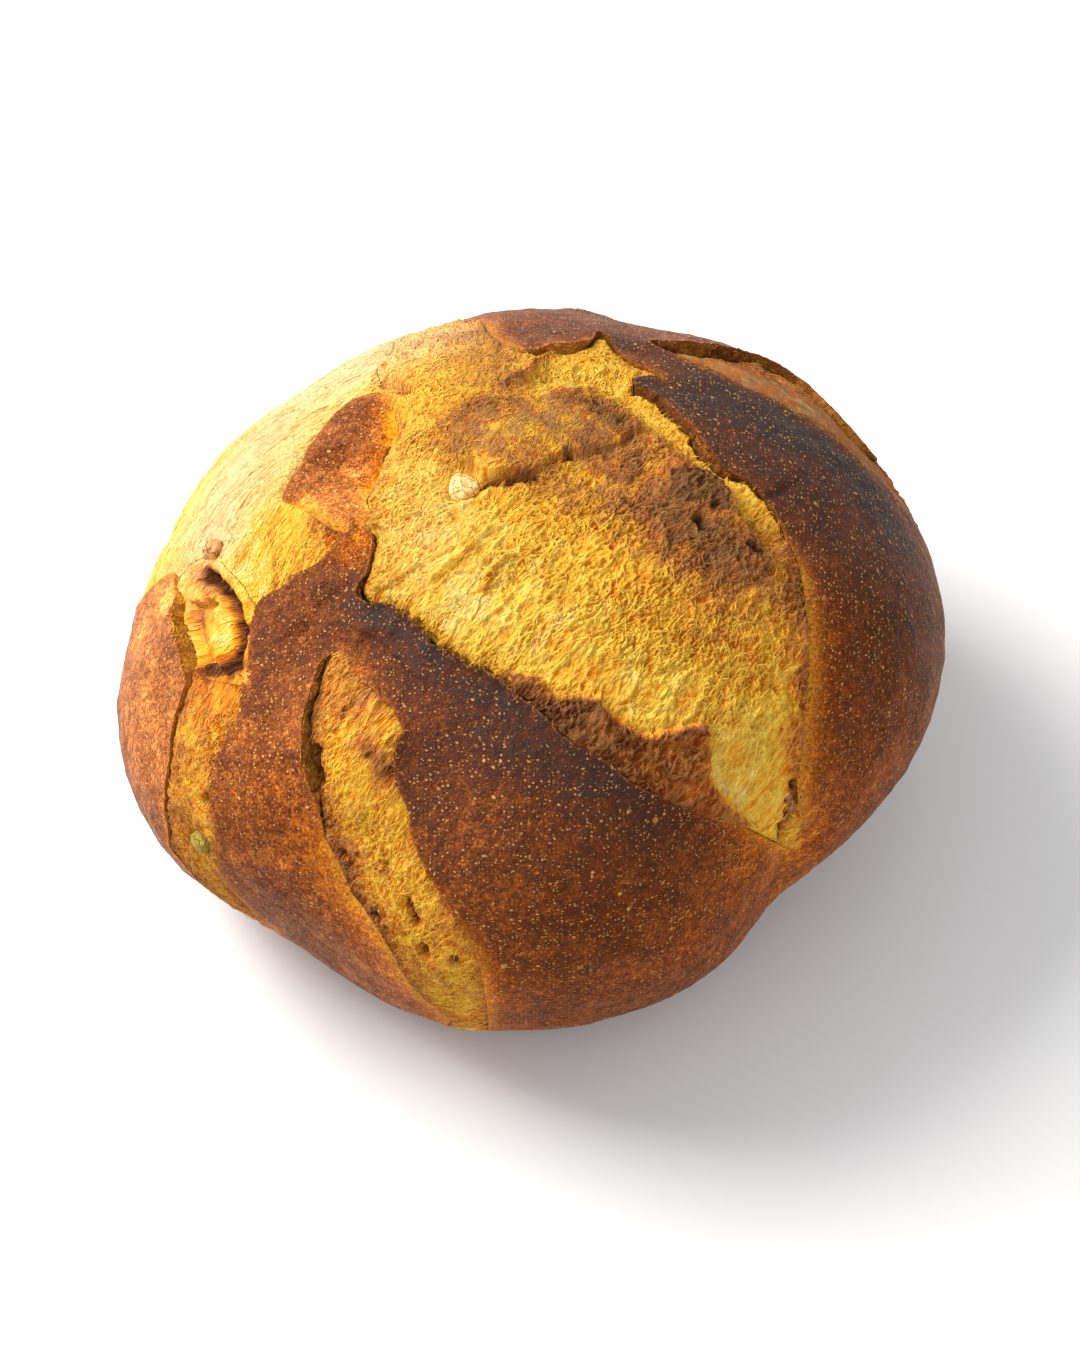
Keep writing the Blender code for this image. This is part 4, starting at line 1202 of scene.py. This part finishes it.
# %% [markdown]
# ## Geometry Nodes for what grows on a surface
# Blisters, bubble walls and fibres are far too many to place by hand. A tree of Geometry Nodes makes them
# from a few named sizes. When it has run, its result is kept as a plain mesh.

# %% Build a tree, run it, keep the mesh


def geometry_tree(name, **sizes):
    """A tree with a Geometry input and one named number for each size."""
    tree = bpy.data.node_groups.new(name, "GeometryNodeTree")
    tree.interface.new_socket("Geometry", in_out="INPUT", socket_type="NodeSocketGeometry")
    tree.interface.new_socket("Geometry", in_out="OUTPUT", socket_type="NodeSocketGeometry")
    for size, value in sizes.items():
        kind = "NodeSocketInt" if isinstance(value, int) else "NodeSocketFloat"
        tree.interface.new_socket(size, in_out="INPUT", socket_type=kind).default_value = value
    entry = tree.nodes.new("NodeGroupInput")
    inputs = {socket.name: Wire(tree, socket) for socket in entry.outputs if socket.name}
    return Wire(tree), inputs


def end_tree(shape, material):
    """Ends a tree: instances made real, and a material on everything."""
    real = shape.node("GeometryNodeRealizeInstances", {}, {0: shape})
    done = real.node("GeometryNodeSetMaterial", {}, {"Geometry": real, "Material": material})
    output = done.tree.nodes.new("NodeGroupOutput")
    done.tree.links.new(done.socket, output.inputs[0])
    return done.tree


def run_tree(made, tree, **sizes):
    """Runs a tree on a piece and returns what it makes as a plain mesh."""
    modifier = made.modifiers.new(tree.name, "NODES")
    modifier.node_group = tree
    for item in tree.interface.items_tree:
        if item.in_out == "INPUT" and item.name in sizes:
            modifier[item.identifier] = sizes[item.name]
    graph = bpy.context.evaluated_depsgraph_get()
    result = bpy.data.meshes.new_from_object(
        made.evaluated_get(graph), preserve_all_data_layers=True, depsgraph=graph
    )
    made.modifiers.remove(modifier)
    return result


def outwards(start):
    """The direction from the heart to each point, in a Geometry Nodes tree."""
    position = start.node("GeometryNodeInputPosition")
    return position.vector("SUBTRACT", tuple(HEART)).vector("NORMALIZE")


def field(start, name, kind="FLOAT"):
    return start.node("GeometryNodeInputNamedAttribute", {"data_type": kind}, {"Name": name})


def kept(shape, name, value):
    """Stores a value on every point of a shape."""
    sockets = {"Geometry": shape, "Name": name, "Value": value}
    return shape.node("GeometryNodeStoreNamedAttribute", {"data_type": "FLOAT", "domain": "POINT"}, sockets)


# %% [markdown]
# ## Blisters on the crust
# The skin of a loaf is never smooth. Broad waves come from the dough's folds and small ones from bubbles
# that dried just under the skin. The relief fades at the base, which baked flat on the stone.

# %% Blister the crust


def swells(place, size):
    """The broad waves that crust and crumb share, in metres; they mostly go inwards."""
    broad = (clouds(place, 45.0, 2.0) - 0.5) * size["Swell"] * 2
    return broad + (clouds(place, 190.0, 2.0) - 0.5) * size["Dimple"] * 2 - size["Swell"] * 0.50


def blister_tree(material):
    start, size = geometry_tree("blisters", Swell=0.0009, Dimple=0.00050, Pimple=0.00022)
    place = start.node("GeometryNodeInputPosition")
    height = swells(place, size) + (clouds(place, 560.0, 2.0) - 0.5) * size["Pimple"] * 2
    upper = start.node("ShaderNodeSeparateXYZ", {}, {0: place}, 2).between(0.002, 0.012)
    push = outwards(start).scaled(height * upper)
    moved = start.node("GeometryNodeSetPosition", {}, {"Geometry": size["Geometry"], "Offset": push})
    return end_tree(moved, material)


crust.data = run_tree(crust, blister_tree(CRUST))
print("blistered crust:", len(crust.data.polygons), "faces")

# %% [markdown]
# ## The crumb in each tear
# Each tear is filled with its own plug of crumb: a fine patch of the skin that reaches a little under the
# crust all round, closed by walls that run down to the heart. Dough tears into strands, so its relief is
# noise that is squeezed across the way it was pulled and drawn out along it. On the crown it was pulled
# up to the right, and on the left shoulder round in long smooth arcs.

# %% Crumb plugs
CRUMB_CELLS = 350
MARGIN = 0.0030
UNDER_SLOPE = 1.3  # how steeply the crumb goes down under the crust
PULL_ANGLE = math.radians(52)
STRETCH = 2.4
HAIR_STRETCH = 7.0
ARC_CENTRE = (557, 640)  # pixel round which the left shoulder was pulled
ARC_STRETCH = 9.0
ARC_SIDE = ((405, 334), (268, 640))  # left of the line through these pixels lie the arcs
ARC_BLEND = 0.010
PIT = (  # broken bubbles, with no strands
    ([(190, 585), (205, 640), (225, 672)], 1.3, 0.0085),
    ([(206, 574), (232, 597), (246, 632), (239, 666)], 1.0, 0.0040),
)

PULL = math.cos(PULL_ANGLE) * RIGHT + math.sin(PULL_ANGLE) * UP


def arc_places(points):
    """Across, up and towards the viewer, from the place round which the shoulder was pulled."""
    centre = seen([ARC_CENTRE])[0]
    return (points - centre) @ np.stack([RIGHT, UP, TOWARDS], axis=1)


def arc_share(points):
    """1 where the crumb lies in arcs, 0 where it lies straight."""
    first, second = seen(ARC_SIDE)
    along = (second - first) @ np.stack([RIGHT, UP], axis=1)
    away = (points - first) @ np.stack([RIGHT, UP], axis=1)
    side = (along[0] * away[:, 1] - along[1] * away[:, 0]) / np.linalg.norm(along)
    return np.clip(0.5 - side / ARC_BLEND, 0, 1) * (1 - np.clip(drawn(points, PIT), 0, 1))


def straight_comb(points):
    """Places drawn together along the pull, so that noise read there comes out as strands."""
    return points - np.outer(points @ PULL, PULL) * (1 - 1 / STRETCH)


def arc_comb(points):
    across, up, towards = arc_places(points).T
    reach = np.hypot(across, up)
    return np.stack([reach, np.arctan2(up, -across) * 0.09 / ARC_STRETCH, towards], axis=1)


def pull_direction(points):
    """Which way the strands run at each point, along the skin."""
    across, up, _ = arc_places(points).T
    around = np.outer(up, RIGHT) - np.outer(across, UP)
    around /= np.maximum(np.linalg.norm(around, axis=1, keepdims=True), 1e-9)
    share = arc_share(points)[:, None]
    return PULL * (1 - share) + around * share


def closed_to_heart(points, faces):
    """Closes an open patch of skin with walls that run from its rim down to the heart."""
    sides = np.concatenate([faces[:, [n, (n + 1) % 4]] for n in range(4)])
    keys = np.sort(sides, axis=1)
    _, first, count = np.unique(keys[:, 0] * len(points) + keys[:, 1], return_index=True, return_counts=True)
    rim = sides[first[count == 1]]
    walls = [(end, start, len(points)) for start, end in rim.tolist()]
    return np.concatenate([points, HEART[None]]), faces.tolist() + walls


CORNERS, SKIN_FACES = gridded_cube(CRUMB_CELLS)
SKIN = on_form(skin_directions(CORNERS))
SPREAD = flat_map(SKIN)


def make_crumb(name):
    """The plug of crumb in one tear, before its strands are raised."""
    loop, lips = LOOPS[name]
    if name == "crown":
        loop, lips = np.concatenate([loop, ISLAND_LOOP[0]]), np.concatenate([lips, ISLAND_LOOP[1]])
    outline = flat_map(loop)
    near = ((SPREAD > outline.min(axis=0) - 0.1) & (SPREAD < outline.max(axis=0) + 0.1)).all(axis=1)
    near = np.flatnonzero(near)
    torn = in_tear(SKIN[near], name)
    distance, closest = nearest(SKIN[near], loop)
    wanted = torn | (distance < MARGIN)
    number = np.full(len(SKIN), -1)
    number[near[wanted]] = np.arange(wanted.sum())
    faces = number[SKIN_FACES]
    faces = faces[(faces >= 0).all(axis=1)]
    used, faces = np.unique(faces, return_inverse=True)
    faces = faces.reshape(-1, 4)
    smooth, torn = SKIN[near[wanted]][used], torn[wanted][used]
    distance, lips = distance[wanted][used], lips[closest[wanted][used]]
    measured = shaken(smooth)
    level = crumb_level(measured, np.where(torn, distance, 0), lips)
    level = np.where(torn, level, level - distance * UNDER_SLOPE - 0.0004)
    # The toast table also paints shade into pores, cracks, slits and under overhangs.
    toast = TEAR_TOAST[name] + drawn(measured, CRUMB_TOAST_AND_SHADE) + patched(measured, TOAST_PATCHES)
    toast += 0.20 * np.clip(lips / FULL_LIP, 0, 1) * np.exp(-distance / 0.0016)
    toast += 0.34 * np.clip(1 - lips / SOFT_LIP, 0, 1) * np.exp(-distance / 0.0032)
    share = arc_share(smooth) * (name == "crown")
    points, faces = closed_to_heart(smooth + level[:, None] * outward(smooth), faces)
    made = new_piece("crumb_" + name, points, faces)
    store(made, "toast", np.append(toast - 0.18 * share, 0.5))
    store(made, "depth", np.append(np.where(torn, distance, -distance), -1.0))
    store(made, "arcs", np.append(share, 0.0))
    bare = drawn(measured, PIT) * 1.5 + patched(measured, ((TERRACE, 0.4, 0.0020),))
    store(made, "bare", np.append(np.clip(bare, 0, 1), 1.0))
    store(made, "cream_highlight", np.append(np.clip(drawn(measured, CREAM_HIGHLIGHT), 0, 1) * (name == "crown"), 0.0))
    store(made, "calm", np.append(np.clip(drawn(measured, CALM), 0, 1), 0.0))
    store(made, "dry", np.append(np.clip(drawn(measured, CALM + DRY), 0, 1), 0.0))
    smooth = np.concatenate([smooth, HEART[None]])
    straight, arcs = straight_comb(smooth), arc_comb(smooth)
    store(made, "straight_comb", straight)
    store(made, "arc_comb", arcs)
    on_arcs = np.append(share, 0.0)[:, None] > 0.5
    along = (smooth @ PULL)[:, None] * PULL
    store(made, "comb", np.where(on_arcs, arcs + 10, straight))
    store(made, "hair", np.where(on_arcs, arcs + 10, smooth - along * (1 - 1 / HAIR_STRETCH)))
    store(made, "pull", pull_direction(smooth))
    return made


crumbs = {name: make_crumb(name) for name in LOOPS}
for name, made in crumbs.items():
    print("crumb", name, len(made.data.polygons), "faces")

# %% [markdown]
# Now the crumb is torn open. Thin walls stand between drawn-out bubbles, over softer lumps, and a few
# pores are deeper. On the left shoulder there are long strands in place of bubbles.

# %% Raise the bubble walls


def ridged(comb, waves, width):
    """Crests of 1 that fall to 0 on both sides."""
    return 1 - ((clouds(comb, waves, 2.0, 0.55) - 0.5).size() * width).held()


def strand_tree(material):
    start, size = geometry_tree(
        "bubble walls", Wall=0.0008, Lump=0.0010, Pore=0.0012, Lean=0.0005, Swell=0.0009, Dimple=0.00050
    )
    straight = field(start, "straight_comb", "FLOAT_VECTOR")
    arcs = field(start, "arc_comb", "FLOAT_VECTOR")
    share = field(start, "arcs")
    depth = field(start, "depth")
    place = start.node("GeometryNodeInputPosition")
    torn = clouds(straight, 110.0, 2.0).between(0.40, 0.62)
    fine = web(straight, 420.0, 0.24) * 0.5 + web(straight, 900.0, 0.30) * 0.4
    coarse = web(straight, 170.0, 0.12) * 0.7 + ridged(straight, 480.0, 5.0) * 0.45
    on_crown = fine * (1 - torn * 0.8) + coarse * torn + ridged(straight, 340.0, 5.0) * 0.2
    on_shoulder = ridged(arcs, 260.0, 4.5) * 0.75 + ridged(arcs, 800.0, 5.0) * 0.65
    crest = on_crown * (1 - share) + on_shoulder * share
    lump = (clouds(place, 110.0, 3.0, 0.6) - 0.5) * (1 - share * 0.7) * depth.between(0.0, 0.005)
    sockets = {"Vector": warped(place, 500.0, 0.0008), "Scale": 210.0, "Randomness": 1.0}
    pores = 1 - start.node("ShaderNodeTexVoronoi", {}, sockets, "Distance").between(0.08, 0.26)
    pores = pores * clouds(place, 60.0).between(0.47, 0.6) * (1 - share)
    crest = crest * (1 - field(start, "bare") * 0.35)
    height = (crest - 0.4 - share * 0.42) * size["Wall"] + lump * size["Lump"] * 2 - pores * size["Pore"]
    inner = depth.between(-0.0006, 0.0012) * (1 - field(start, "calm") * 0.85)
    lean = field(start, "pull", "FLOAT_VECTOR").scaled((crest - 0.4) * size["Lean"] * inner)
    upper = start.node("ShaderNodeSeparateXYZ", {}, {0: place}, 2).between(0.002, 0.012)
    push = outwards(start).scaled(height * inner + swells(place, size) * upper).vector("ADD", lean)
    moved = start.node("GeometryNodeSetPosition", {}, {"Geometry": size["Geometry"], "Offset": push})
    # The crest is kept for the crumb material, which paints highlights where it is high and shade where it is low.
    moved = kept(moved, "crest", (crest - pores).held())
    return end_tree(moved, material)


TOP = 0.1205  # above this height the crumb is pressed flatter, to stay within the solids


def press_top(made):
    """Halves, and halves again, what stands above TOP."""
    spots = np.empty((len(made.data.vertices), 3), np.float32)
    made.data.vertices.foreach_get("co", spots.ravel())
    spots[:, 2] -= 0.75 * np.maximum(spots[:, 2] - TOP, 0)
    made.data.vertices.foreach_set("co", spots.ravel())


STRANDS = strand_tree(CRUMB)
for made in crumbs.values():
    made.data = run_tree(made, STRANDS)
press_top(crumbs["crown"])
print("crumb in all:", sum(len(made.data.polygons) for made in crumbs.values()), "faces")

# %% [markdown]
# ## Loose fibres
# Where dough tears, threads of it stay behind, pale and curled. Each fibre is a thin bent tube. They are
# scattered over the crumb, lie mostly the way the crumb was pulled, and are a kind each: long threads,
# short curls, and stubs on the broken walls of the crust.

# %% Scatter fibres


def fibre_tree(name, material, share_name, low, high, arcs, **sizes):
    start, size = geometry_tree(name, **sizes)
    near = field(start, share_name).between(low, high) * (1 - field(start, "calm"))
    near = near * (1 - field(start, "toast").between(0.75, 0.95)) * (1 - field(start, "bare"))
    patchy = clouds(start.node("GeometryNodeInputPosition"), 90.0, 2.0).between(0.36, 0.62) * 0.75 + 0.25
    near = near * (field(start, "arcs") if arcs else 1 - field(start, "arcs"))
    shown = outwards(start).vector("DOT_PRODUCT", tuple(TOWARDS), "Value").between(-0.2, 0.3) * 0.9 + 0.1
    sockets = {
        "Mesh": size["Geometry"], "Density": size["Per area"] * near * patchy * shown, "Seed": size["Seed"]
    }
    places = start.node("GeometryNodeDistributePointsOnFaces", {}, sockets)
    upright = start.node("FunctionNodeAlignRotationToVector", {"axis": "Z"}, {"Vector": places.other("Normal")})
    pull = field(start, "pull", "FLOAT_VECTOR")
    along = start.node(
        "FunctionNodeAlignRotationToVector", {"axis": "X", "pivot_axis": "Z"}, {"Rotation": upright, "Vector": pull}
    )
    spread = size["Spread"]
    low_turn = start.node("ShaderNodeCombineXYZ", {}, {0: -0.9, 1: size["Tilt"] * -1, 2: spread * -1})
    high_turn = start.node("ShaderNodeCombineXYZ", {}, {0: 0.9, 1: size["Tilt"], 2: spread})
    turn = start.node("FunctionNodeRandomValue", {"data_type": "FLOAT_VECTOR"}, {0: low_turn, 1: high_turn})
    turned = start.node("FunctionNodeRotateRotation", {"rotation_space": "LOCAL"},
                        {"Rotation": along, "Rotate By": turn})
    half = size["Length"] * 0.5
    ends = {
        "Resolution": size["Bends"],
        "Start": start.node("ShaderNodeCombineXYZ", {}, {0: half * -1, 1: 0.0, 2: size["Width"] * -0.6}),
        "Middle": start.node("ShaderNodeCombineXYZ", {}, {0: half * 0.1, 1: size["Bend"], 2: size["Bend"] * 0.9}),
        "End": start.node("ShaderNodeCombineXYZ", {}, {0: half, 1: size["Bend"] * -0.3, 2: size["Width"] * -0.3}),
    }
    thread = start.node("GeometryNodeCurveQuadraticBezier", {}, ends)
    ring = start.node("GeometryNodeCurvePrimitiveCircle", {"mode": "RADIUS"}, {0: 3, "Radius": size["Width"] * 0.5})
    along_it = start.node("GeometryNodeSplineParameter")
    taper = 1.05 - ((along_it * 2 - 1).size() ** 2.5) * 0.8
    sockets = {"Curve": thread, "Profile Curve": ring, "Scale": taper, "Fill Caps": True}
    tube = start.node("GeometryNodeCurveToMesh", {}, sockets)
    tube = start.node("GeometryNodeSetShadeSmooth", {}, {"Geometry": tube})
    scale = start.node("FunctionNodeRandomValue", {"data_type": "FLOAT"}, {2: 0.55, 3: 1.45, "Seed": 5}, 1)
    # A crest of 2 makes the crumb material paint every fibre with its full highlight.
    sockets = {"Points": kept(places, "crest", 2.0), "Instance": tube, "Rotation": turned, "Scale": scale}
    return end_tree(start.node("GeometryNodeInstanceOnPoints", {}, sockets), material)


fibres = []


def scatter(name, bases, tree, **sizes):
    """One piece with all the fibres of a kind."""
    meshes = []
    for number, base in enumerate(bases):
        meshes.append(run_tree(base, tree, Seed=sizes.get("Seed", 1) + number))
    made = new_piece(name, np.zeros((0, 3)), [])
    joined = [bpy.data.objects.new("part", mesh) for mesh in meshes]
    made.data = joined[0].data if len(joined) == 1 else joined_mesh(joined)
    fibres.append(made)
    print(name, len(made.data.polygons), "faces")
    return made


def joined_mesh(parts):
    """One mesh from several objects."""
    for part in parts:
        scene.collection.objects.link(part)
    with bpy.context.temp_override(active_object=parts[0], selected_editable_objects=parts):
        bpy.ops.object.join()
    result = parts[0].data
    bpy.data.objects.remove(parts[0])
    return result


THREADS = {"Bends": 4, "Per area": 2.4e5, "Length": 0.0044, "Width": 0.00015, "Bend": 0.0005, "Spread": 0.6,
           "Tilt": 0.10}
CURLS = {"Bends": 3, "Per area": 5.0e5, "Length": 0.0020, "Width": 0.00014, "Bend": 0.0006, "Spread": 1.2,
         "Tilt": 0.25}
ARCS = {"Bends": 4, "Per area": 3.0e5, "Length": 0.0090, "Width": 0.00016, "Bend": 0.0004, "Spread": 0.08,
        "Tilt": 0.02}
STUBS = {"Bends": 3, "Per area": 1.6e6, "Length": 0.0016, "Width": 0.00024, "Bend": 0.0004, "Spread": 3.1,
         "Tilt": 0.6}
DEPTH = ("depth", 0.0002, 0.0012)
scatter("threads", list(crumbs.values()), fibre_tree("threads", CRUMB, *DEPTH, False, Seed=3, **THREADS))
scatter("curls", list(crumbs.values()), fibre_tree("curls", CRUMB, *DEPTH, False, Seed=11, **CURLS))
scatter("long_threads", [crumbs["crown"]], fibre_tree("long threads", CRUMB, *DEPTH, True, Seed=7, **ARCS))

scatter("stubs", [crust], fibre_tree("stubs", CRUMB, "lip", 0.25, 0.8, False, Seed=5, **STUBS))

# %% [markdown]
# ## Nuts and seeds
# A baked bit of nut is a broken chunk: flat cut faces, cream inside, with fine cracks and a darker skin.
# Each chunk starts from its solid's own mesh. Its corners are joined, it is cut finer, and then flats are
# sunk into it with a pattern of cells, so that it keeps its size.

# %% Nut and seed materials


def nut_finish(name, flesh, skin):
    made, start, shader = new_material(name)
    place = start.node("ShaderNodeTexCoord", {}, {}, "Object")
    vein = clouds(place, 900.0, 4.0, 0.6)
    blotch = clouds(place, 260.0, 2.0).between(0.45, 0.62)
    crack = web(place, 330.0, 0.05)
    hollow = 1 - stored(start, "crest")
    colour = mixed((blotch * 0.35 + (vein - 0.5) * 0.6 + hollow * 0.5).held(), flesh, skin)
    colour = mixed(crack * 0.6, colour, skin)
    height = vein * 0.5 - crack * 0.6
    connect(shader, Base_Color=colour, Roughness=0.5 + vein * 0.2, Normal=bumped(height, 0.0006))
    shader.inputs["Specular IOR Level"].default_value = 0.2
    return made


# %% Break the chunks


def chunk_tree(material):
    start, size = geometry_tree("chunk", Facet=0.0009, Wrinkle=0.0004, Waves=130.0)
    sockets = {"Geometry": size["Geometry"], "Distance": 0.00002}
    whole = start.node("GeometryNodeMergeByDistance", {}, sockets)
    finer = start.node("GeometryNodeSubdivideMesh", {}, {"Mesh": whole, "Level": 2})
    place = start.node("GeometryNodeInputPosition")
    sockets = {"Vector": place, "Scale": size["Waves"], "Randomness": 1.0}
    cells = start.node("ShaderNodeTexVoronoi", {"feature": "DISTANCE_TO_EDGE"}, sockets, "Distance")
    flat = cells.between(0.0, 0.35)
    wrinkle = clouds(place, 700.0, 2.0)
    push = start.node("GeometryNodeInputNormal").scaled(flat * size["Facet"] * -1 + (wrinkle - 0.6) * size["Wrinkle"])
    moved = start.node("GeometryNodeSetPosition", {}, {"Geometry": finer, "Offset": push})
    smooth = start.node("GeometryNodeSetShadeSmooth", {}, {"Geometry": moved})
    return end_tree(kept(smooth, "crest", (1 - flat * 0.2) * wrinkle.between(0.3, 0.6)), material)


NUT_FINISHES = {
    "nut_crown": nut_finish("nut_cream", paint(252, 226, 158), paint(196, 138, 60)),
    "nut_side": nut_finish("nut_walnut", paint(208, 152, 90), paint(124, 76, 38)),
    "seed_strip": nut_finish("seed_green", paint(166, 142, 50), paint(96, 78, 26)),
    "seed_tip": nut_finish("seed_brown", paint(168, 110, 56), paint(90, 50, 26)),
}


def make_chunk(name, material):
    """A broken chunk in the place and size of one of the frame's solids."""
    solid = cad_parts[name]
    data = solid.data.copy()
    data.transform(solid.matrix_world)
    data.materials.clear()
    chunk = bpy.data.objects.new(name + "_chunk", data)
    scene.collection.objects.link(chunk)
    chunk.data = run_tree(chunk, chunk_tree(material))
    return chunk


chunks = {name: make_chunk(name, material) for name, material in NUT_FINISHES.items()}
for chunk in chunks.values():
    print(chunk.name, len(chunk.data.polygons), "faces")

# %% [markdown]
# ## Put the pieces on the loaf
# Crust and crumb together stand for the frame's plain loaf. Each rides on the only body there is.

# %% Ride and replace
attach(crust, "root")
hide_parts("loaf")
for made in (*crumbs.values(), *fibres):
    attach(made, "root")
for name, chunk in chunks.items():
    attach(chunk, "root")
    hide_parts(name)

# %% [markdown]
# ## Floor and light
# A pale floor, and daylight from the upper left behind the loaf, as from a window: it nearly bleaches the
# left shoulder and leaves the right side deep in tone.

# %% Stage


def make_floor():
    side = 3.0
    corners = np.array([(-side, -side, 0), (side, -side, 0), (side, side, 0), (-side, side, 0)])
    floor = new_piece("floor", corners, [(0, 1, 2, 3)])
    made, start, shader = new_material("floor")
    place = start.node("ShaderNodeTexCoord", {}, {}, "Object")
    mist = clouds(place, 3.0, 2.0)
    connect(shader, Base_Color=mixed(mist, paint(232, 232, 231), paint(228, 228, 228)))
    shader.inputs["Roughness"].default_value = 0.9
    shader.inputs["Specular IOR Level"].default_value = 0.0
    floor.data.materials.append(made)


def make_lamp(name, place, size, power, tint):
    light = bpy.data.lights.new(name, "AREA")
    light.size = size
    light.energy = power
    light.color = tint
    lamp = bpy.data.objects.new(name, light)
    scene.collection.objects.link(lamp)
    lamp.location = place
    lamp.rotation_euler = (Vector(HEART) - Vector(place)).to_track_quat("-Z", "Y").to_euler()


make_floor()
make_lamp("window", (-0.90, 0.40, 1.00), 0.8, 31.0, (1.0, 0.98, 0.94))
make_lamp("fill", (0.4, -1.2, 0.9), 1.2, 4.0, (1.0, 0.99, 0.97))
world = bpy.data.worlds.new("studio")
world.use_nodes = True
world.node_tree.nodes["Background"].inputs["Color"].default_value = (0.96, 0.97, 1.0, 1)
world.node_tree.nodes["Background"].inputs["Strength"].default_value = 0.72
scene.world = world
scene.view_settings.view_transform = "Standard"

# %% Sizes, and the end
for made in (crust, *crumbs.values(), *fibres, *chunks.values()):
    spots = np.empty((len(made.data.vertices), 3), np.float32)
    made.data.vertices.foreach_get("co", spots.ravel())
    print(made.name, "from", (spots.min(axis=0) * 1000).round(1), "to", (spots.max(axis=0) * 1000).round(1), "mm")
